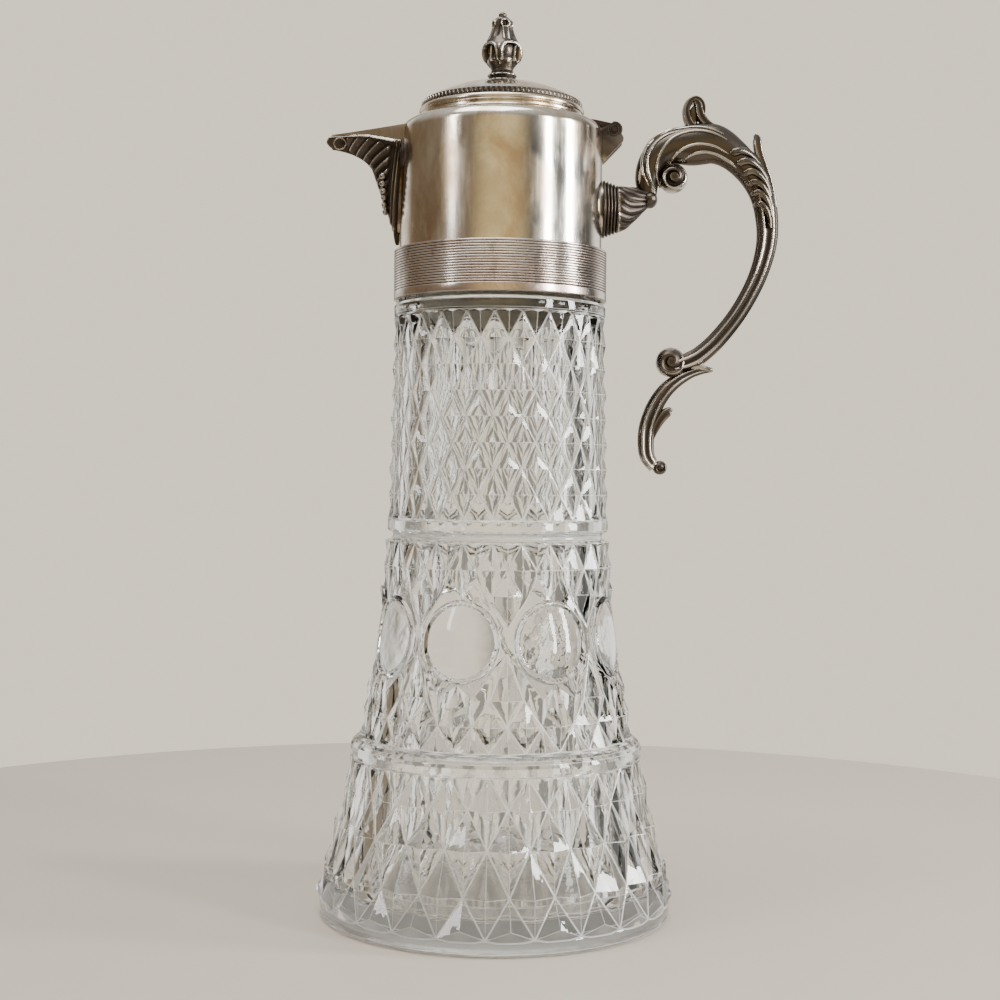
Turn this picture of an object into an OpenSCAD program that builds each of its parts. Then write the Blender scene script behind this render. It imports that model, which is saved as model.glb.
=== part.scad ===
// Claret jug: a pressed-glass body in three tiers under a silver-plated drum mount, with a reeded
// band, a beak spout, a cast scroll handle and a domed lid that turns on a hinge over the handle.
// Millimetres, +Z up. The origin is the centre of the foot; spout to -X, handle to +X.

/* [Glass tiers] */
// Radius of the foot rim
foot_r = 59.2; // [57:0.1:63]
// Height of the plain foot rim
foot_rim_h = 5.2; // [3.5:0.1:8]
// Radius that the lowest field would reach at the foot
low_flare_r = 61.4; // [60:0.1:65]
// Height of the lowest diamond field
low_field_h = 47.8; // [42:0.1:60]
// Radius at the top of the lowest field
low_top_r = 49.4; // [48:0.1:52]
// Height of the rounded ledge between the lowest and the middle field
ledge_h = 7; // [5:0.1:9]
// Radius at the foot of the middle field
mid_foot_r = 46.5; // [45:0.1:48]
// Height of the middle field
mid_field_h = 65.5; // [56:0.1:80]
// Radius at the top of the middle field
mid_top_r = 38.3; // [37.8:0.1:40]
// Height of the groove between the middle and the top field
groove_h = 3.5; // [2.5:0.1:6]
// Depth of that groove below the waist ring
groove_depth = 0.9; // [0.4:0.1:1.6]
// Radius of the plain waist ring under the top field
waist_r = 37.4; // [36.8:0.1:38]
// Height of the waist ring
waist_ring_h = 4; // [2:0.1:7]
// Height of the top diamond field
top_field_h = 67; // [56:0.1:80]
// Step in from the reeded band to the plain shoulder ring over the top field
shoulder_in = 0.2; // [0:0.1:1]
// Height of the shoulder ring
shoulder_ring_h = 5.2; // [3:0.1:8]

/* [Glass wall and neck] */
// Glass left behind the grooves of the pattern
glass_wall = 3.5; // [2.5:0.1:4.5]
// Thickness of the floor
floor_h = 8; // [6:0.1:12]
// Depth of the hollow under the foot
punt_h = 2; // [1:0.1:3.5]
// Height of the neck inside the mount
neck_h = 16.5; // [12:0.1:20]
// Thickness of the neck's glass
neck_t = 4; // [3.4:0.1:6]
// Thickness of the cement between the neck and the drum
cement_t = 1; // [0.6:0.1:1.6]

/* [Pressed pattern] */
// Oval lenses round the middle field; each has three columns of diamonds
ovals = 8; // [6:1:10]
// Depth of the lowest diamonds
low_relief = 3; // [1.5:0.1:4]
// Depth of the middle diamonds
mid_relief = 2; // [1:0.1:2.6]
// Depth of the top diamonds
top_relief = 1.7; // [1:0.1:2.2]
// Width of an oval, as a share of its place
oval_width = 0.87; // [0.7:0.01:0.95]
// Height of an oval
oval_h = 28; // [22:0.1:32]
// Height of the lens over the groove round it
lens_rise = 1.5; // [0.5:0.1:2.2]

/* [Mount] */
// Outer radius of the drum
drum_r = 34.2; // [33.8:0.1:35]
// Thickness of the drum's sheet
drum_t = 0.8; // [0.6:0.05:1]
// Height of the drum's wall above the band
drum_wall_h = 39; // [34:0.1:50]
// Radius of the drum's rounded shoulder
shoulder_fillet = 4.6; // [3:0.1:5]
// Rise from the end of the wall to the lid's seat
seat_rise = 5.2; // [5.1:0.1:7]
// Stand of the reeded band beyond the drum
band_out = 1.8; // [1.4:0.1:2.8]
// Height of the reeded band
band_h = 16.7; // [12:0.1:22]
// Plain rim at the foot of the band
band_rim_h = 2.9; // [1.5:0.1:5]
// Reeds on the band
reeds = 16; // [8:1:20]
// Depth of the grooves between the reeds
reed_depth = 0.4; // [0.2:0.05:0.6]
// Gap between the glass shoulder and the band
band_gap = 1.3; // [0.5:0.1:2]

/* [Lid] */
// Outer radius of the lid's flange
lid_r = 28; // [27.4:0.1:28.6]
// Rise of the dome over the milled ring
dome_rise = 7.6; // [5:0.1:12]
// Thickness of the lid's sheet
lid_t = 0.9; // [0.6:0.05:1.2]
// Radius of the lid's rolled edge
roll_r = 2.1; // [1.6:0.1:2.3]
// Outer radius of the bezel inside the mouth
bezel_r = 26.4; // [24:0.1:26.8]
// Depth of the bezel under the flange
bezel_h = 5; // [3:0.1:7]
// Gap between the closed lid and its seat
lid_gap = 0.25; // [0.1:0.05:0.4]
// Teeth of the milled ring
mill_teeth = 140; // [80:1:160]
// Height of the finial over the lid
finial_h = 24.2; // [18:0.1:32]
// Greatest radius of the finial's leaves
finial_r = 7; // [5:0.1:9]

/* [Hinge] */
// Distance of the hinge axis outside the drum
hinge_out = 3.8; // [3.2:0.1:5]
// Height of the hinge axis over the end of the drum's wall
hinge_up = 2.2; // [1.5:0.1:3]
// Radius of the knuckles
knuckle_r = 2.7; // [2.2:0.1:2.9]
// Radius of the pin
pin_r = 0.9; // [0.6:0.05:1.2]
// Width of the bracket
bracket_w = 9.6; // [8:0.1:14]
// Width of the lid's knuckle
leaf_w = 3.7; // [3:0.1:5]
// Drop of the bracket below the axis
bracket_drop = 10.4; // [8:0.1:13]

/* [Spout] */
// Reach of the spout's tip beyond the drum
spout_reach = 24.2; // [18:0.1:32]
// Half width of the spout where it meets the drum
spout_half_w = 12.5; // [9:0.1:14]
// Height of the channel's foot over the band
spout_foot = 5.5; // [4:0.1:8]
// Thickness of the channel's sheet
spout_t = 0.8; // [0.6:0.05:1.1]
// Thickness of the casting under the channel
casting_t = 1.5; // [1:0.1:2]
// Radius of the largest pearl on the keel
pearl_r = 1.5; // [1:0.05:1.8]

/* [Handle] */
// Height of the handle's socket over the band
handle_z = 15; // [12:0.1:18]
// Length of the ringed socket
socket_len = 5.4; // [4:0.1:7]
// Radius of the socket's widest ring
socket_r = 10; // [9:0.1:11.5]
// Reach of the handle beyond the drum
handle_reach = 60; // [52:0.1:70]
// Drop of the handle's tail below the socket
handle_drop = 90; // [80:0.1:105]
// Thickness of the handle as a share of the drawn one
handle_body = 1; // [0.85:0.01:1.1]
// Half width of the handle's widest swell, along Y
handle_half_w = 5.5; // [4.5:0.1:7]

/* [Fixings] */
// Radius of the handle screw
handle_screw_r = 2; // [1.5:0.1:2.5]
// Radius of the finial screw
finial_screw_r = 1.3; // [1:0.05:1.6]

/* [Hidden] */
$fn = 96;

// Fits
solder_gap = 0.05;  // between pieces that are soldered or seated on one body
pin_fit = 0.05;     // running fit of the lid's knuckle on the pin
bracket_fit = 0.01; // the pin in the bracket's knuckles
side_fit = 0.15;    // on each side of the lid's knuckle
screw_fit = 0.1;    // round a screw
sweep_gap = 0.4;    // round the lid's knuckle as it turns

// Radii that follow the drum
band_r = drum_r + band_out;
shoulder_r = band_r - shoulder_in;
neck_r = drum_r - drum_t - cement_t;
neck_bore_r = neck_r - neck_t;

// Heights of the glass, from the table up
z_low = foot_rim_h;
z_ledge = z_low + low_field_h;
z_mid = z_ledge + ledge_h;
z_groove = z_mid + mid_field_h;
z_waist = z_groove + groove_h;
z_top = z_waist + waist_ring_h;
z_ring = z_top + top_field_h;
z_neck = z_ring + shoulder_ring_h;
z_rim = z_neck + neck_h;

// Heights of the mount
z_band = z_neck + band_gap;
z_band_top = z_band + band_h;
z_wall_top = z_band_top + drum_wall_h;
z_seat = z_wall_top + seat_rise;
z_lid = z_seat + lid_gap;
flange_h = 1;
z_roll = z_lid + flange_h + 0.85 * roll_r + 0.9;
z_dome = z_roll + 0.85 * roll_r;
z_finial = z_dome + dome_rise - 0.4;
skirt_lift = 1.2;
mouth_r = bezel_r + 0.7;
seat_r = lid_r + 0.9;

// Axes
hinge_x = drum_r + hinge_out;
hinge_z = z_wall_top + hinge_up;
socket_z = z_band_top + handle_z;

function lerp(a, b, t) = a + (b - a) * t;
function arc(c, r, a0, a1, n = 6) =
  [for (i = [0 : n]) c + r * [cos(lerp(a0, a1, i / n)), sin(lerp(a0, a1, i / n))]];
function polar(a, r, z) = [r * cos(a), r * sin(a), z];

// ---- Pressed glass ----

columns = 3 * ovals;            // columns of diamonds in every field
steps = 2 * columns;            // half columns
step_a = 360 / steps;
phase = -92.5;                  // angle of the first column's tips, just left of the front
low_rows = [0, 0.25, 0.54, 0.79, 1]; // half rows of the lowest field, as shares of its height
half_rows = 8;                  // half rows of the middle and top fields
fine = 2;                       // finer steps of the middle field

// Outer envelope of the three fields, over the diamonds' points
function low_env(z) =
  low_top_r + (low_flare_r - low_top_r) * pow(max(0, z_ledge - z) / low_field_h, 1.1);
function mid_env(z) =
  mid_top_r + (mid_foot_r - mid_top_r) * pow(max(0, z_groove - z) / mid_field_h, 1.3);
function top_env(z) = lerp(waist_r, shoulder_r + 0.1, (z - z_top) / top_field_h);

function plain_ring(r, z) = [for (i = [0 : steps - 1]) polar(phase + i * step_a, r, z)];

// A row of the lowest field: points stand out where column and row are of unlike parity.
low_last = len(low_rows) - 1;
function low_ring(j) = [for (i = [0 : steps - 1])
  let (z = z_low + low_field_h * low_rows[j], point = (i + j) % 2 == 1, lift = foot_rim_h * 0.6)
    j == 0 ? (point ? polar(phase + i * step_a, low_env(z + lift), z + lift)
                    : polar(phase + i * step_a, foot_r - 0.3, z)) :
    j == low_last ? polar(phase + i * step_a, low_top_r - (point ? 0 : 0.4), z) :
    polar(phase + i * step_a, low_env(z) - (point ? 0 : low_relief), z)];

function top_ring(j) = [for (i = [0 : steps - 1])
  let (z = z_top + top_field_h * j / half_rows, point = (i + j) % 2 == 1, end = j == 0 || j == half_rows)
    polar(phase + i * step_a, top_env(z) - (end ? (point ? 0.1 : 0.5) : point ? 0 : top_relief), z)];

// Height of the diamond lattice at column a and row b, both in half steps: 0 in a groove, 1 on a point.
function off(x) = abs(x - 2 * floor(x / 2) - 1);
function lattice(a, b) = 1 - max(off(a + b), off(a - b));

// The middle field. An oval stands on every third column; points near its edge slide onto it.
oval_a = 180 / ovals * oval_width;
oval_z = z_mid + mid_field_h * 0.54;
lens_edge = 0.84;
function snap(e) = abs(e - 1) < 0.13 ? 1 / e : abs(e - lens_edge) < 0.09 ? lens_edge / e : 1;
function mid_point(i, j) =
  let (a = i * step_a / fine, z = z_mid + mid_field_h * j / half_rows / fine,
       place = 360 / ovals,
       u = (a + step_a * 2 - place * floor((a + step_a * 2) / place + 0.5)), w = z - oval_z,
       e = norm([u / oval_a, w / (oval_h / 2)]),
       s = e > 0.5 && j > 0 && j < half_rows * fine ? snap(e) : 1,
       a2 = a + u * (s - 1), z2 = oval_z + w * s, e2 = e * s,
       end = j == 0 || j == half_rows * fine,
       h = lattice(i / fine, j / fine),
       lens = lens_rise * (0.25 - pow(min(1, e2 / lens_edge), 2)))
  polar(phase + a2,
    end ? mid_env(z) - 0.4 :
    e2 <= lens_edge + 0.01 ? mid_env(z2) - mid_relief * 0.35 + lens :
    e2 <= 1.01 ? mid_env(z2) - mid_relief * 0.55 :
    mid_env(z2) - mid_relief * (1 - h), z2);
function mid_ring(j) = [for (i = [0 : steps * fine - 1]) mid_point(i, j)];

groove_r = waist_r - groove_depth;
skin = concat(
  [plain_ring(foot_r - 0.8, 0), plain_ring(foot_r, 0.9), plain_ring(foot_r, z_low - 0.7)],
  [for (j = [0 : low_last]) low_ring(j)],
  [plain_ring(low_top_r, z_ledge + 0.25 * ledge_h), plain_ring(low_top_r - 0.5, z_ledge + 0.6 * ledge_h),
   plain_ring(low_top_r - 1.8, z_ledge + 0.87 * ledge_h), plain_ring(mid_foot_r - 0.4, z_mid - 0.4)],
  [for (j = [0 : half_rows * fine]) mid_ring(j)],
  [plain_ring(mid_top_r - 0.1, z_groove + 0.25 * groove_h), plain_ring(groove_r, z_groove + 0.5 * groove_h),
   plain_ring(groove_r, z_groove + 0.85 * groove_h), plain_ring(waist_r, z_waist),
   plain_ring(waist_r, z_top - 0.6)],
  [for (j = [0 : half_rows]) top_ring(j)],
  [plain_ring(shoulder_r, z_ring + 0.6), plain_ring(shoulder_r, z_neck - 0.9),
   plain_ring(shoulder_r - 0.9, z_neck)]);
skin_starts = [for (j = 0, s = 0; j < len(skin); s = s + len(skin[j]), j = j + 1) s];

// Faces between two rings; each cell folds along its lower diagonal, so that grooves stay sharp.
function depth(p) = norm([p.x, p.y]);
function like_band(lo, hi, p, q) =
  let (n = len(lo))
  [for (i = [0 : n - 1])
    let (k = (i + 1) % n, fold = depth(lo[i]) + depth(hi[k]) < depth(lo[k]) + depth(hi[i]))
      each fold ? [[p + i, q + k, p + k], [p + i, q + i, q + k]]
                : [[p + i, q + i, p + k], [p + k, q + i, q + k]]];
function widen_band(n, p, q) = [for (i = [0 : n - 1])
  let (k = (i + 1) % n, m = 2 * n)
    each [[p + i, q + 2 * i, q + 2 * i + 1], [p + i, q + 2 * i + 1, p + k],
          [p + k, q + 2 * i + 1, q + (2 * i + 2) % m]]];
function narrow_band(n, p, q) = [for (i = [0 : n - 1])
  let (k = (i + 1) % n, m = 2 * n)
    each [[p + 2 * i, q + i, p + 2 * i + 1], [p + 2 * i + 1, q + i, q + k],
          [p + 2 * i + 1, q + k, p + (2 * i + 2) % m]]];
function band(j) =
  let (lo = skin[j], hi = skin[j + 1], p = skin_starts[j], q = skin_starts[j + 1])
  len(lo) == len(hi) ? like_band(lo, hi, p, q) :
  len(lo) < len(hi) ? widen_band(len(lo), p, q) : narrow_band(len(hi), p, q);

// Inner wall, a constant wall behind the grooves
low_in = [for (i = [0 : 4]) let (z = lerp(floor_h + 4, z_ledge, i / 4))
  [low_env(z) - low_relief - glass_wall, z]];
mid_in = [for (i = [0 : 5]) let (z = lerp(z_mid, z_groove, i / 5))
  [mid_env(z) - mid_relief - glass_wall, z]];
inner_profile = concat(
  [[0, floor_h], [low_in[0].x - 7, floor_h], [low_in[0].x - 2, floor_h + 1.2]], low_in, mid_in,
  [[groove_r - glass_wall - 0.4, z_waist], [waist_r - top_relief - glass_wall, z_top],
   [shoulder_r - top_relief - glass_wall, z_ring - 6], [neck_bore_r + 0.6, z_neck - 2],
   [neck_bore_r, z_neck + 2], [neck_bore_r, z_rim + 1], [0, z_rim + 1]]);

module glass_body() {
  color([0.86, 0.9, 0.9, 0.5])
  difference() {
    union() {
      polyhedron(
        points = [for (ring = skin) each ring],
        faces = concat(
          [[for (i = [0 : steps - 1]) i]],
          [for (j = [0 : len(skin) - 2]) each band(j)],
          [[for (i = [1 : steps]) skin_starts[len(skin) - 1] + steps - i]]),
        convexity = 8);
      // Neck with a fire-polished rim
      translate([0, 0, z_neck - 0.5]) rotate_extrude()
        polygon(concat([[0, 0], [neck_r, 0]], arc([neck_r - 1.6, neck_h - 1.1], 1.6, 0, 90),
          [[0, neck_h + 0.5]]));
    }
    rotate_extrude() polygon(inner_profile);
    // Hollow under the foot
    translate([0, 0, -1])
      cylinder(h = 1 + punt_h, r1 = foot_r - 7, r2 = foot_r - 12);
  }
}

// Cement that beds the drum on the glass neck
module cement_ring() {
  color([0.88, 0.86, 0.8])
  rotate_extrude() translate([neck_r + solder_gap, z_band + skirt_lift])
    square([drum_r - drum_t - neck_r - 2 * solder_gap, z_rim - 3 - z_band - skirt_lift]);
}

// ---- Drum and band ----

fillet_c = [drum_r - shoulder_fillet, z_wall_top];
// Outer radius of the drum at a height, over its rounded shoulder
function drum_at(z) = z <= z_wall_top ? drum_r :
  fillet_c.x + sqrt(max(0.01, pow(shoulder_fillet, 2) - pow(z - z_wall_top, 2)));

module drum_outline(grow) {
  polygon(concat([[0, z_band - 2], [drum_r + grow, z_band - 2]],
    arc(fillet_c, shoulder_fillet + grow, 0, 74, 10), [[seat_r, z_seat + grow], [0, z_seat + grow]]));
}

module mount_drum() {
  color([0.78, 0.74, 0.64])
  difference() {
    rotate_extrude() polygon(concat(
      [[drum_r - drum_t, z_band + skirt_lift], [drum_r, z_band + skirt_lift]],
      arc(fillet_c, shoulder_fillet, 0, 74, 10),
      [[seat_r, z_seat], [mouth_r, z_seat], [mouth_r, z_seat - 1]],
      arc(fillet_c, shoulder_fillet - drum_t, 74, 0, 10)));
    // Way from the drum into the spout
    spout_slot();
    translate([0, 0, socket_z]) rotate([0, 90, 0])
      cylinder(h = 2 * drum_r, r = handle_screw_r + screw_fit);
  }
}

// The opening in the drum's wall narrows downwards as the channel does.
module spout_slot() {
  wide = spout_half_w - 3.5;
  top = z_wall_top - 0.8;
  low = z_band_top + spout_foot + 7;
  translate([-drum_r / 2, 0, 0]) rotate([90, 0, -90])
    linear_extrude(drum_r)
      polygon([[-wide, top], [wide, top], [wide * 0.8, lerp(low, top, 0.6)], [1.6, low],
        [-1.6, low], [-wide * 0.8, lerp(low, top, 0.6)]]);
}

reed_h = (band_h - band_rim_h) / reeds;
module reeded_band() {
  color([0.74, 0.69, 0.64])
  rotate_extrude() polygon(concat(
    [[drum_r + solder_gap, z_band], [band_r - 0.3, z_band], [band_r, z_band + 0.4],
     [band_r, z_band + band_rim_h - 0.4]],
    [for (i = [0 : reeds - 1]) let (z = z_band + band_rim_h + i * reed_h)
      each [[band_r - reed_depth, z], [band_r - 0.1, z + reed_h * 0.25],
            [band_r, z + reed_h * 0.5], [band_r - 0.1, z + reed_h * 0.75]]],
    [[band_r - reed_depth, z_band_top], [drum_r + solder_gap, z_band_top]]));
}

// ---- Spout ----

// Both sides of the beak are one patch between four edges: the rim, the keel, the tip and the line
// on the drum. t runs from the tip to the drum, s from the rim to the keel.
spout_bottom = z_band_top + spout_foot;
tip = [-drum_r - spout_reach, 0, z_wall_top + 0.6];
tip_half_w = 1.2;
rim_rise = 1.3;
function on_drum(y, z, out) = [-sqrt(pow(drum_at(z) + out, 2) - y * y), y, z];
sunk = -0.4;                     // the beak's end before the drum's curve cuts it
function rim_edge(t, out) =
  let (root = on_drum(spout_half_w + out, tip.z + rim_rise, sunk))
  [lerp(tip.x, root.x, t), lerp(tip_half_w, root.y, pow(t, 1.15)) + out * (1 - t),
   lerp(tip.z, root.z, t)];
// The keel leaves the tip nearly level, turns down and runs along the drum to its foot.
keel_turn = [-drum_r - 7.6, z_wall_top - 8.6];
function bow(a, b, c, t) = lerp(lerp(a, b, t), lerp(b, c, t), t);
function keel_edge(t, out) =
  let (a = [tip.x + 1.2, tip.z - 2.2], b = keel_turn, c = [-drum_r - 0.8, spout_bottom],
       p = t < 0.5 ? bow(a, [b.x - 7, lerp(a.y, b.y, 0.12)], b, 2 * t)
                   : bow(b, [b.x + 3.2, lerp(b.y, c.y, 0.3)], c, 2 * t - 1))
  [p.x - out * (0.6 + 0.4 * t), 0, p.y - out * (1 - 0.6 * t)];
function root_edge(s, out) =
  let (z = lerp(tip.z + rim_rise, spout_bottom - out, s),
       y = (spout_half_w + out) * pow(1 - s, 0.62) * (1 - 0.25 * s))
  on_drum(min(y, drum_r * 0.7), z, sunk);
function tip_edge(s, out) =
  lerp(rim_edge(0, out), keel_edge(0, out), s) + [-out * sin(180 * s) * 0.4, 0, 0];
function patch(t, s, out) =
  let (sides = lerp(rim_edge(t, out), keel_edge(t, out), s),
       ends = lerp(tip_edge(s, out), root_edge(s, out), t),
       corners = lerp(lerp(rim_edge(0, out), keel_edge(0, out), s),
                      lerp(rim_edge(1, out), root_edge(1, out), s), t),
       p = sides + ends - corners)
  [p.x, max(0, p.y), p.z];

// One ring round a slice of the beak: out along one face and back along the other.
function slice(t, outer, inner) = concat(
  [for (k = outer) let (p = patch(t, k.x, k.y)) [p.x, p.y, p.z]],
  [for (i = [len(outer) - 2 : -1 : 0]) let (k = outer[i], p = patch(t, k.x, k.y)) [p.x, -p.y, p.z]],
  [for (k = inner) let (p = patch(t, k.x, k.y)) [p.x, -p.y, p.z]],
  [for (i = [len(inner) - 2 : -1 : 0]) let (k = inner[i], p = patch(t, k.x, k.y)) [p.x, p.y, p.z]]);

// A closed solid through rings of one count, with flat ends. Seen along the loft, the rings turn
// to the left.
module loft(rings) {
  n = len(rings[0]);
  m = len(rings);
  polyhedron(
    points = [for (ring = rings) each ring],
    faces = concat([[for (i = [1 : n]) n - i]],
      [for (j = [0 : m - 2], i = [0 : n - 1]) let (k = (i + 1) % n, p = j * n, q = p + n)
        each [[p + i, p + k, q + i], [p + k, q + k, q + i]]],
      [[for (i = [0 : n - 1]) (m - 1) * n + i]]),
    convexity = 8);
}

// The same for rings that run out along one face and back along the other: each end is a strip.
module shell_loft(rings) {
  n = len(rings[0]);
  m = len(rings);
  last = (m - 1) * n;
  polyhedron(
    points = [for (ring = rings) each ring],
    faces = concat(
      [for (i = [0 : n / 2 - 2]) each [[i, n - 1 - i, i + 1], [i + 1, n - 1 - i, n - 2 - i]]],
      [for (j = [0 : m - 2], i = [0 : n - 1]) let (k = (i + 1) % n, p = j * n, q = p + n)
        each [[p + i, p + k, q + i], [p + k, q + k, q + i]]],
      [for (i = [0 : n / 2 - 2]) let (p = last + i, q = last + n - 1 - i)
        each [[p, p + 1, q], [p + 1, q - 1, q]]]),
    convexity = 8);
}

// The channel and the casting share their slices, so that one lies on the other.
casting_rim = 0.16;             // bare edge of the channel above the casting, as a share of its side
casting_sides = [for (i = [0 : 7]) lerp(casting_rim, 1, i / 7)];
casting_slices = [for (i = [0 : 10]) lerp(0.03, 1, i / 10)];
channel_sides = concat([0], casting_sides);
channel_slices = concat([0], casting_slices);
module spout_channel() {
  color([0.76, 0.72, 0.63])
  difference() {
    shell_loft([for (t = channel_slices) slice(t,
      [for (s = channel_sides) [s, 0]], [for (s = channel_sides) [s * 0.985, -spout_t]])]);
    rotate_extrude() drum_outline(solder_gap);
  }
}

// Leaf ribs fan out from the tip over the casting's face.
function leaf_relief(t, s) = 0.45 * sin(180 * t) * cos(360 * (2.2 * s - 1.4 * t));
pearls = 6;
module spout_casting() {
  color([0.3, 0.27, 0.25])
  difference() {
    union() {
      shell_loft([for (t = casting_slices) slice(t,
        [for (s = casting_sides) [s, casting_t * (0.55 + 0.45 * sin(180 * s)) + leaf_relief(t, s)]],
        [for (s = casting_sides) [s, solder_gap]])]);
      // Pearls down the keel
      for (i = [0 : pearls - 1])
        let (p = keel_edge(0.55 + 0.39 * i / pearls, casting_t - 0.2), r = pearl_r * (1 - 0.4 * i / pearls))
        hull() {
          translate(p) sphere(r, $fn = 8);
          translate(p + [1, 0, 0]) sphere(r * 0.8, $fn = 6);
        }
      // Curled leaves at the tip and where the casting meets the drum
      for (m = [-1, 1]) {
        curl([tip.x + 2.4, 1.9, tip.z - 2.6], 1.1, [tip.x + 4.4, 2.4, tip.z - 2.8], 0.9, m);
        curl(patch(0.9, 0.3, casting_t), 1.5, patch(0.8, 0.5, casting_t), 1, m);
      }
    }
    rotate_extrude() drum_outline(solder_gap);
    beak_core();
  }
}

// Room for the channel inside the casting
module beak_core() {
  loft([for (t = channel_slices) concat(
    [for (s = channel_sides) patch(t, s, solder_gap)],
    [for (i = [len(channel_sides) - 2 : -1 : 0]) let (p = patch(t, channel_sides[i], solder_gap))
      [p.x, -p.y, p.z]])]);
}

// A drop between two balls on the left or the right side
module curl(p, r, q, s, m) {
  hull() {
    translate([p.x, m * p.y, p.z]) sphere(r, $fn = 8);
    translate([q.x, m * q.y, q.z]) sphere(s, $fn = 8);
  }
}

// ---- Hinge ----

module across(x, z, r, w) {
  translate([x, w / 2, z]) rotate([90, 0, 0]) cylinder(h = w, r = r);
}

module hinge_bracket() {
  slot = leaf_w + 2 * side_fit;
  color([0.42, 0.38, 0.34])
  difference() {
    union() {
      across(hinge_x, hinge_z, knuckle_r, bracket_w);
      translate([0, bracket_w / 2, 0]) rotate([90, 0, 0]) linear_extrude(bracket_w)
        polygon([[drum_r - 2.5, hinge_z - bracket_drop], [drum_r + 0.6, hinge_z - bracket_drop],
          [hinge_x + knuckle_r + 1.6, hinge_z - 3.6], [hinge_x + knuckle_r + 2.2, hinge_z - 2],
          [hinge_x + knuckle_r + 0.6, hinge_z - 0.4], [hinge_x, hinge_z], [drum_r - 1.5, hinge_z - 0.4]]);
    }
    rotate_extrude() drum_outline(solder_gap);
    // Room for the lid's knuckle and its strap
    across(hinge_x, hinge_z, knuckle_r + sweep_gap, slot);
    translate([drum_r - 4, -slot / 2, hinge_z - 0.6]) cube([hinge_out + 4, slot, 8]);
    across(hinge_x, hinge_z, pin_r + bracket_fit, bracket_w + 2);
  }
}

module hinge_pin() {
  color([0.45, 0.42, 0.38])
  across(hinge_x, hinge_z, pin_r, bracket_w + 0.6);
}

module lid_hinge_leaf() {
  color([0.6, 0.56, 0.5])
  difference() {
    union() {
      across(hinge_x, hinge_z, knuckle_r, leaf_w);
      translate([0, leaf_w / 2, 0]) rotate([90, 0, 0]) linear_extrude(leaf_w)
        polygon([[lid_r - 0.8, z_lid + 0.1], [seat_r + 0.5, z_lid + 0.1],
          [drum_r - 1.2, z_seat - 0.9], [drum_r + 0.8, hinge_z], [hinge_x, hinge_z],
          [hinge_x, hinge_z + knuckle_r], [hinge_x - 2, hinge_z + knuckle_r + 0.3],
          [drum_r - 1.2, z_seat + 0.7], [seat_r + 1, z_lid + flange_h], [lid_r - 0.8, z_lid + flange_h]]);
    }
    translate([0, 0, z_lid - 5]) cylinder(h = 20, r = lid_r + solder_gap);
    across(hinge_x, hinge_z, pin_r + pin_fit, leaf_w + 2);
  }
}

// ---- Lid ----

roll_c = [lid_r - 0.3 - roll_r, z_roll];
ring_r = lid_r - 1.6;          // centre of the milled ring
ring_w = 1;
dome_edge = [ring_r + ring_w / 2 + 0.3, z_dome];
dome_r = (pow(dome_edge.x, 2) + pow(dome_rise, 2)) / (2 * dome_rise);
function dome_z(r, drop) = z_dome + dome_rise - dome_r + sqrt(pow(dome_r - drop, 2) - r * r);
dome_steps = [for (i = [0 : 8]) lerp(ring_r - ring_w / 2 - 0.1, 0, i / 8)];
ring_z = dome_z(ring_r - ring_w / 2 - 0.1, 0);

module lid_shell() {
  color([0.78, 0.75, 0.67])
  difference() {
    rotate_extrude() polygon(concat(
      [[bezel_r + solder_gap, z_lid], [lid_r, z_lid], [lid_r, z_lid + flange_h],
       [lid_r - 1, z_lid + flange_h + 0.5]],
      arc(roll_c, roll_r, -50, 72, 8),
      [[ring_r + ring_w / 2 + 0.1, ring_z], [ring_r - ring_w / 2 - 0.1, ring_z]],
      [for (r = dome_steps) [r, dome_z(r, 0)]],
      [for (i = [8 : -1 : 0]) [dome_steps[i] * 0.97, dome_z(dome_steps[i] * 0.97, lid_t)]],
      [[roll_c.x - 0.6, z_roll + 0.2], [bezel_r + solder_gap, z_lid + flange_h]]));
    translate([0, 0, z_lid]) cylinder(h = 40, r = finial_screw_r + screw_fit);
  }
}

// A milled wire round the foot of the dome
tooth_depth = 0.3;
module lid_milled_ring() {
  n = 2 * mill_teeth;
  color([0.6, 0.55, 0.46])
  translate([0, 0, ring_z + solder_gap]) linear_extrude(0.7)
    polygon(concat(
      [for (i = [0 : n - 1]) let (a = 360 * i / n)
        (ring_r + ring_w / 2 - (i % 2) * tooth_depth) * [cos(a), sin(a)]],
      [for (i = [0 : 71]) (ring_r - ring_w / 2) * [cos(5 * i), sin(5 * i)]]),
      [[for (i = [0 : n - 1]) i], [for (i = [0 : 71]) n + i]]);
}

module lid_bezel() {
  color([0.7, 0.67, 0.6])
  rotate_extrude() polygon([[bezel_r - 0.8, z_lid - bezel_h], [bezel_r - 0.3, z_lid - bezel_h],
    [bezel_r, z_lid - bezel_h + 0.6], [bezel_r, z_lid + flange_h - 0.1],
    [bezel_r - 0.8, z_lid + flange_h - 0.1]]);
}

// ---- Finial ----

// The bud between its leaves, as shares of its radius and height
bud_r = finial_r * 0.95;
cup_r = bud_r * 0.9;
finial_profile = [[0.9, 0.03], [0.72, 0.07], [0.68, 0.11], [0.55, 0.15], [0.54, 0.21], [0.62, 0.26],
  [0.74, 0.33], [0.76, 0.4], [0.66, 0.5], [0.52, 0.6], [0.4, 0.68], [0.38, 0.76], [0.44, 0.84],
  [0.36, 0.91], [0.22, 0.97], [0.03, 1]];
leaves = 4;
leaf_turn = 35;

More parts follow.
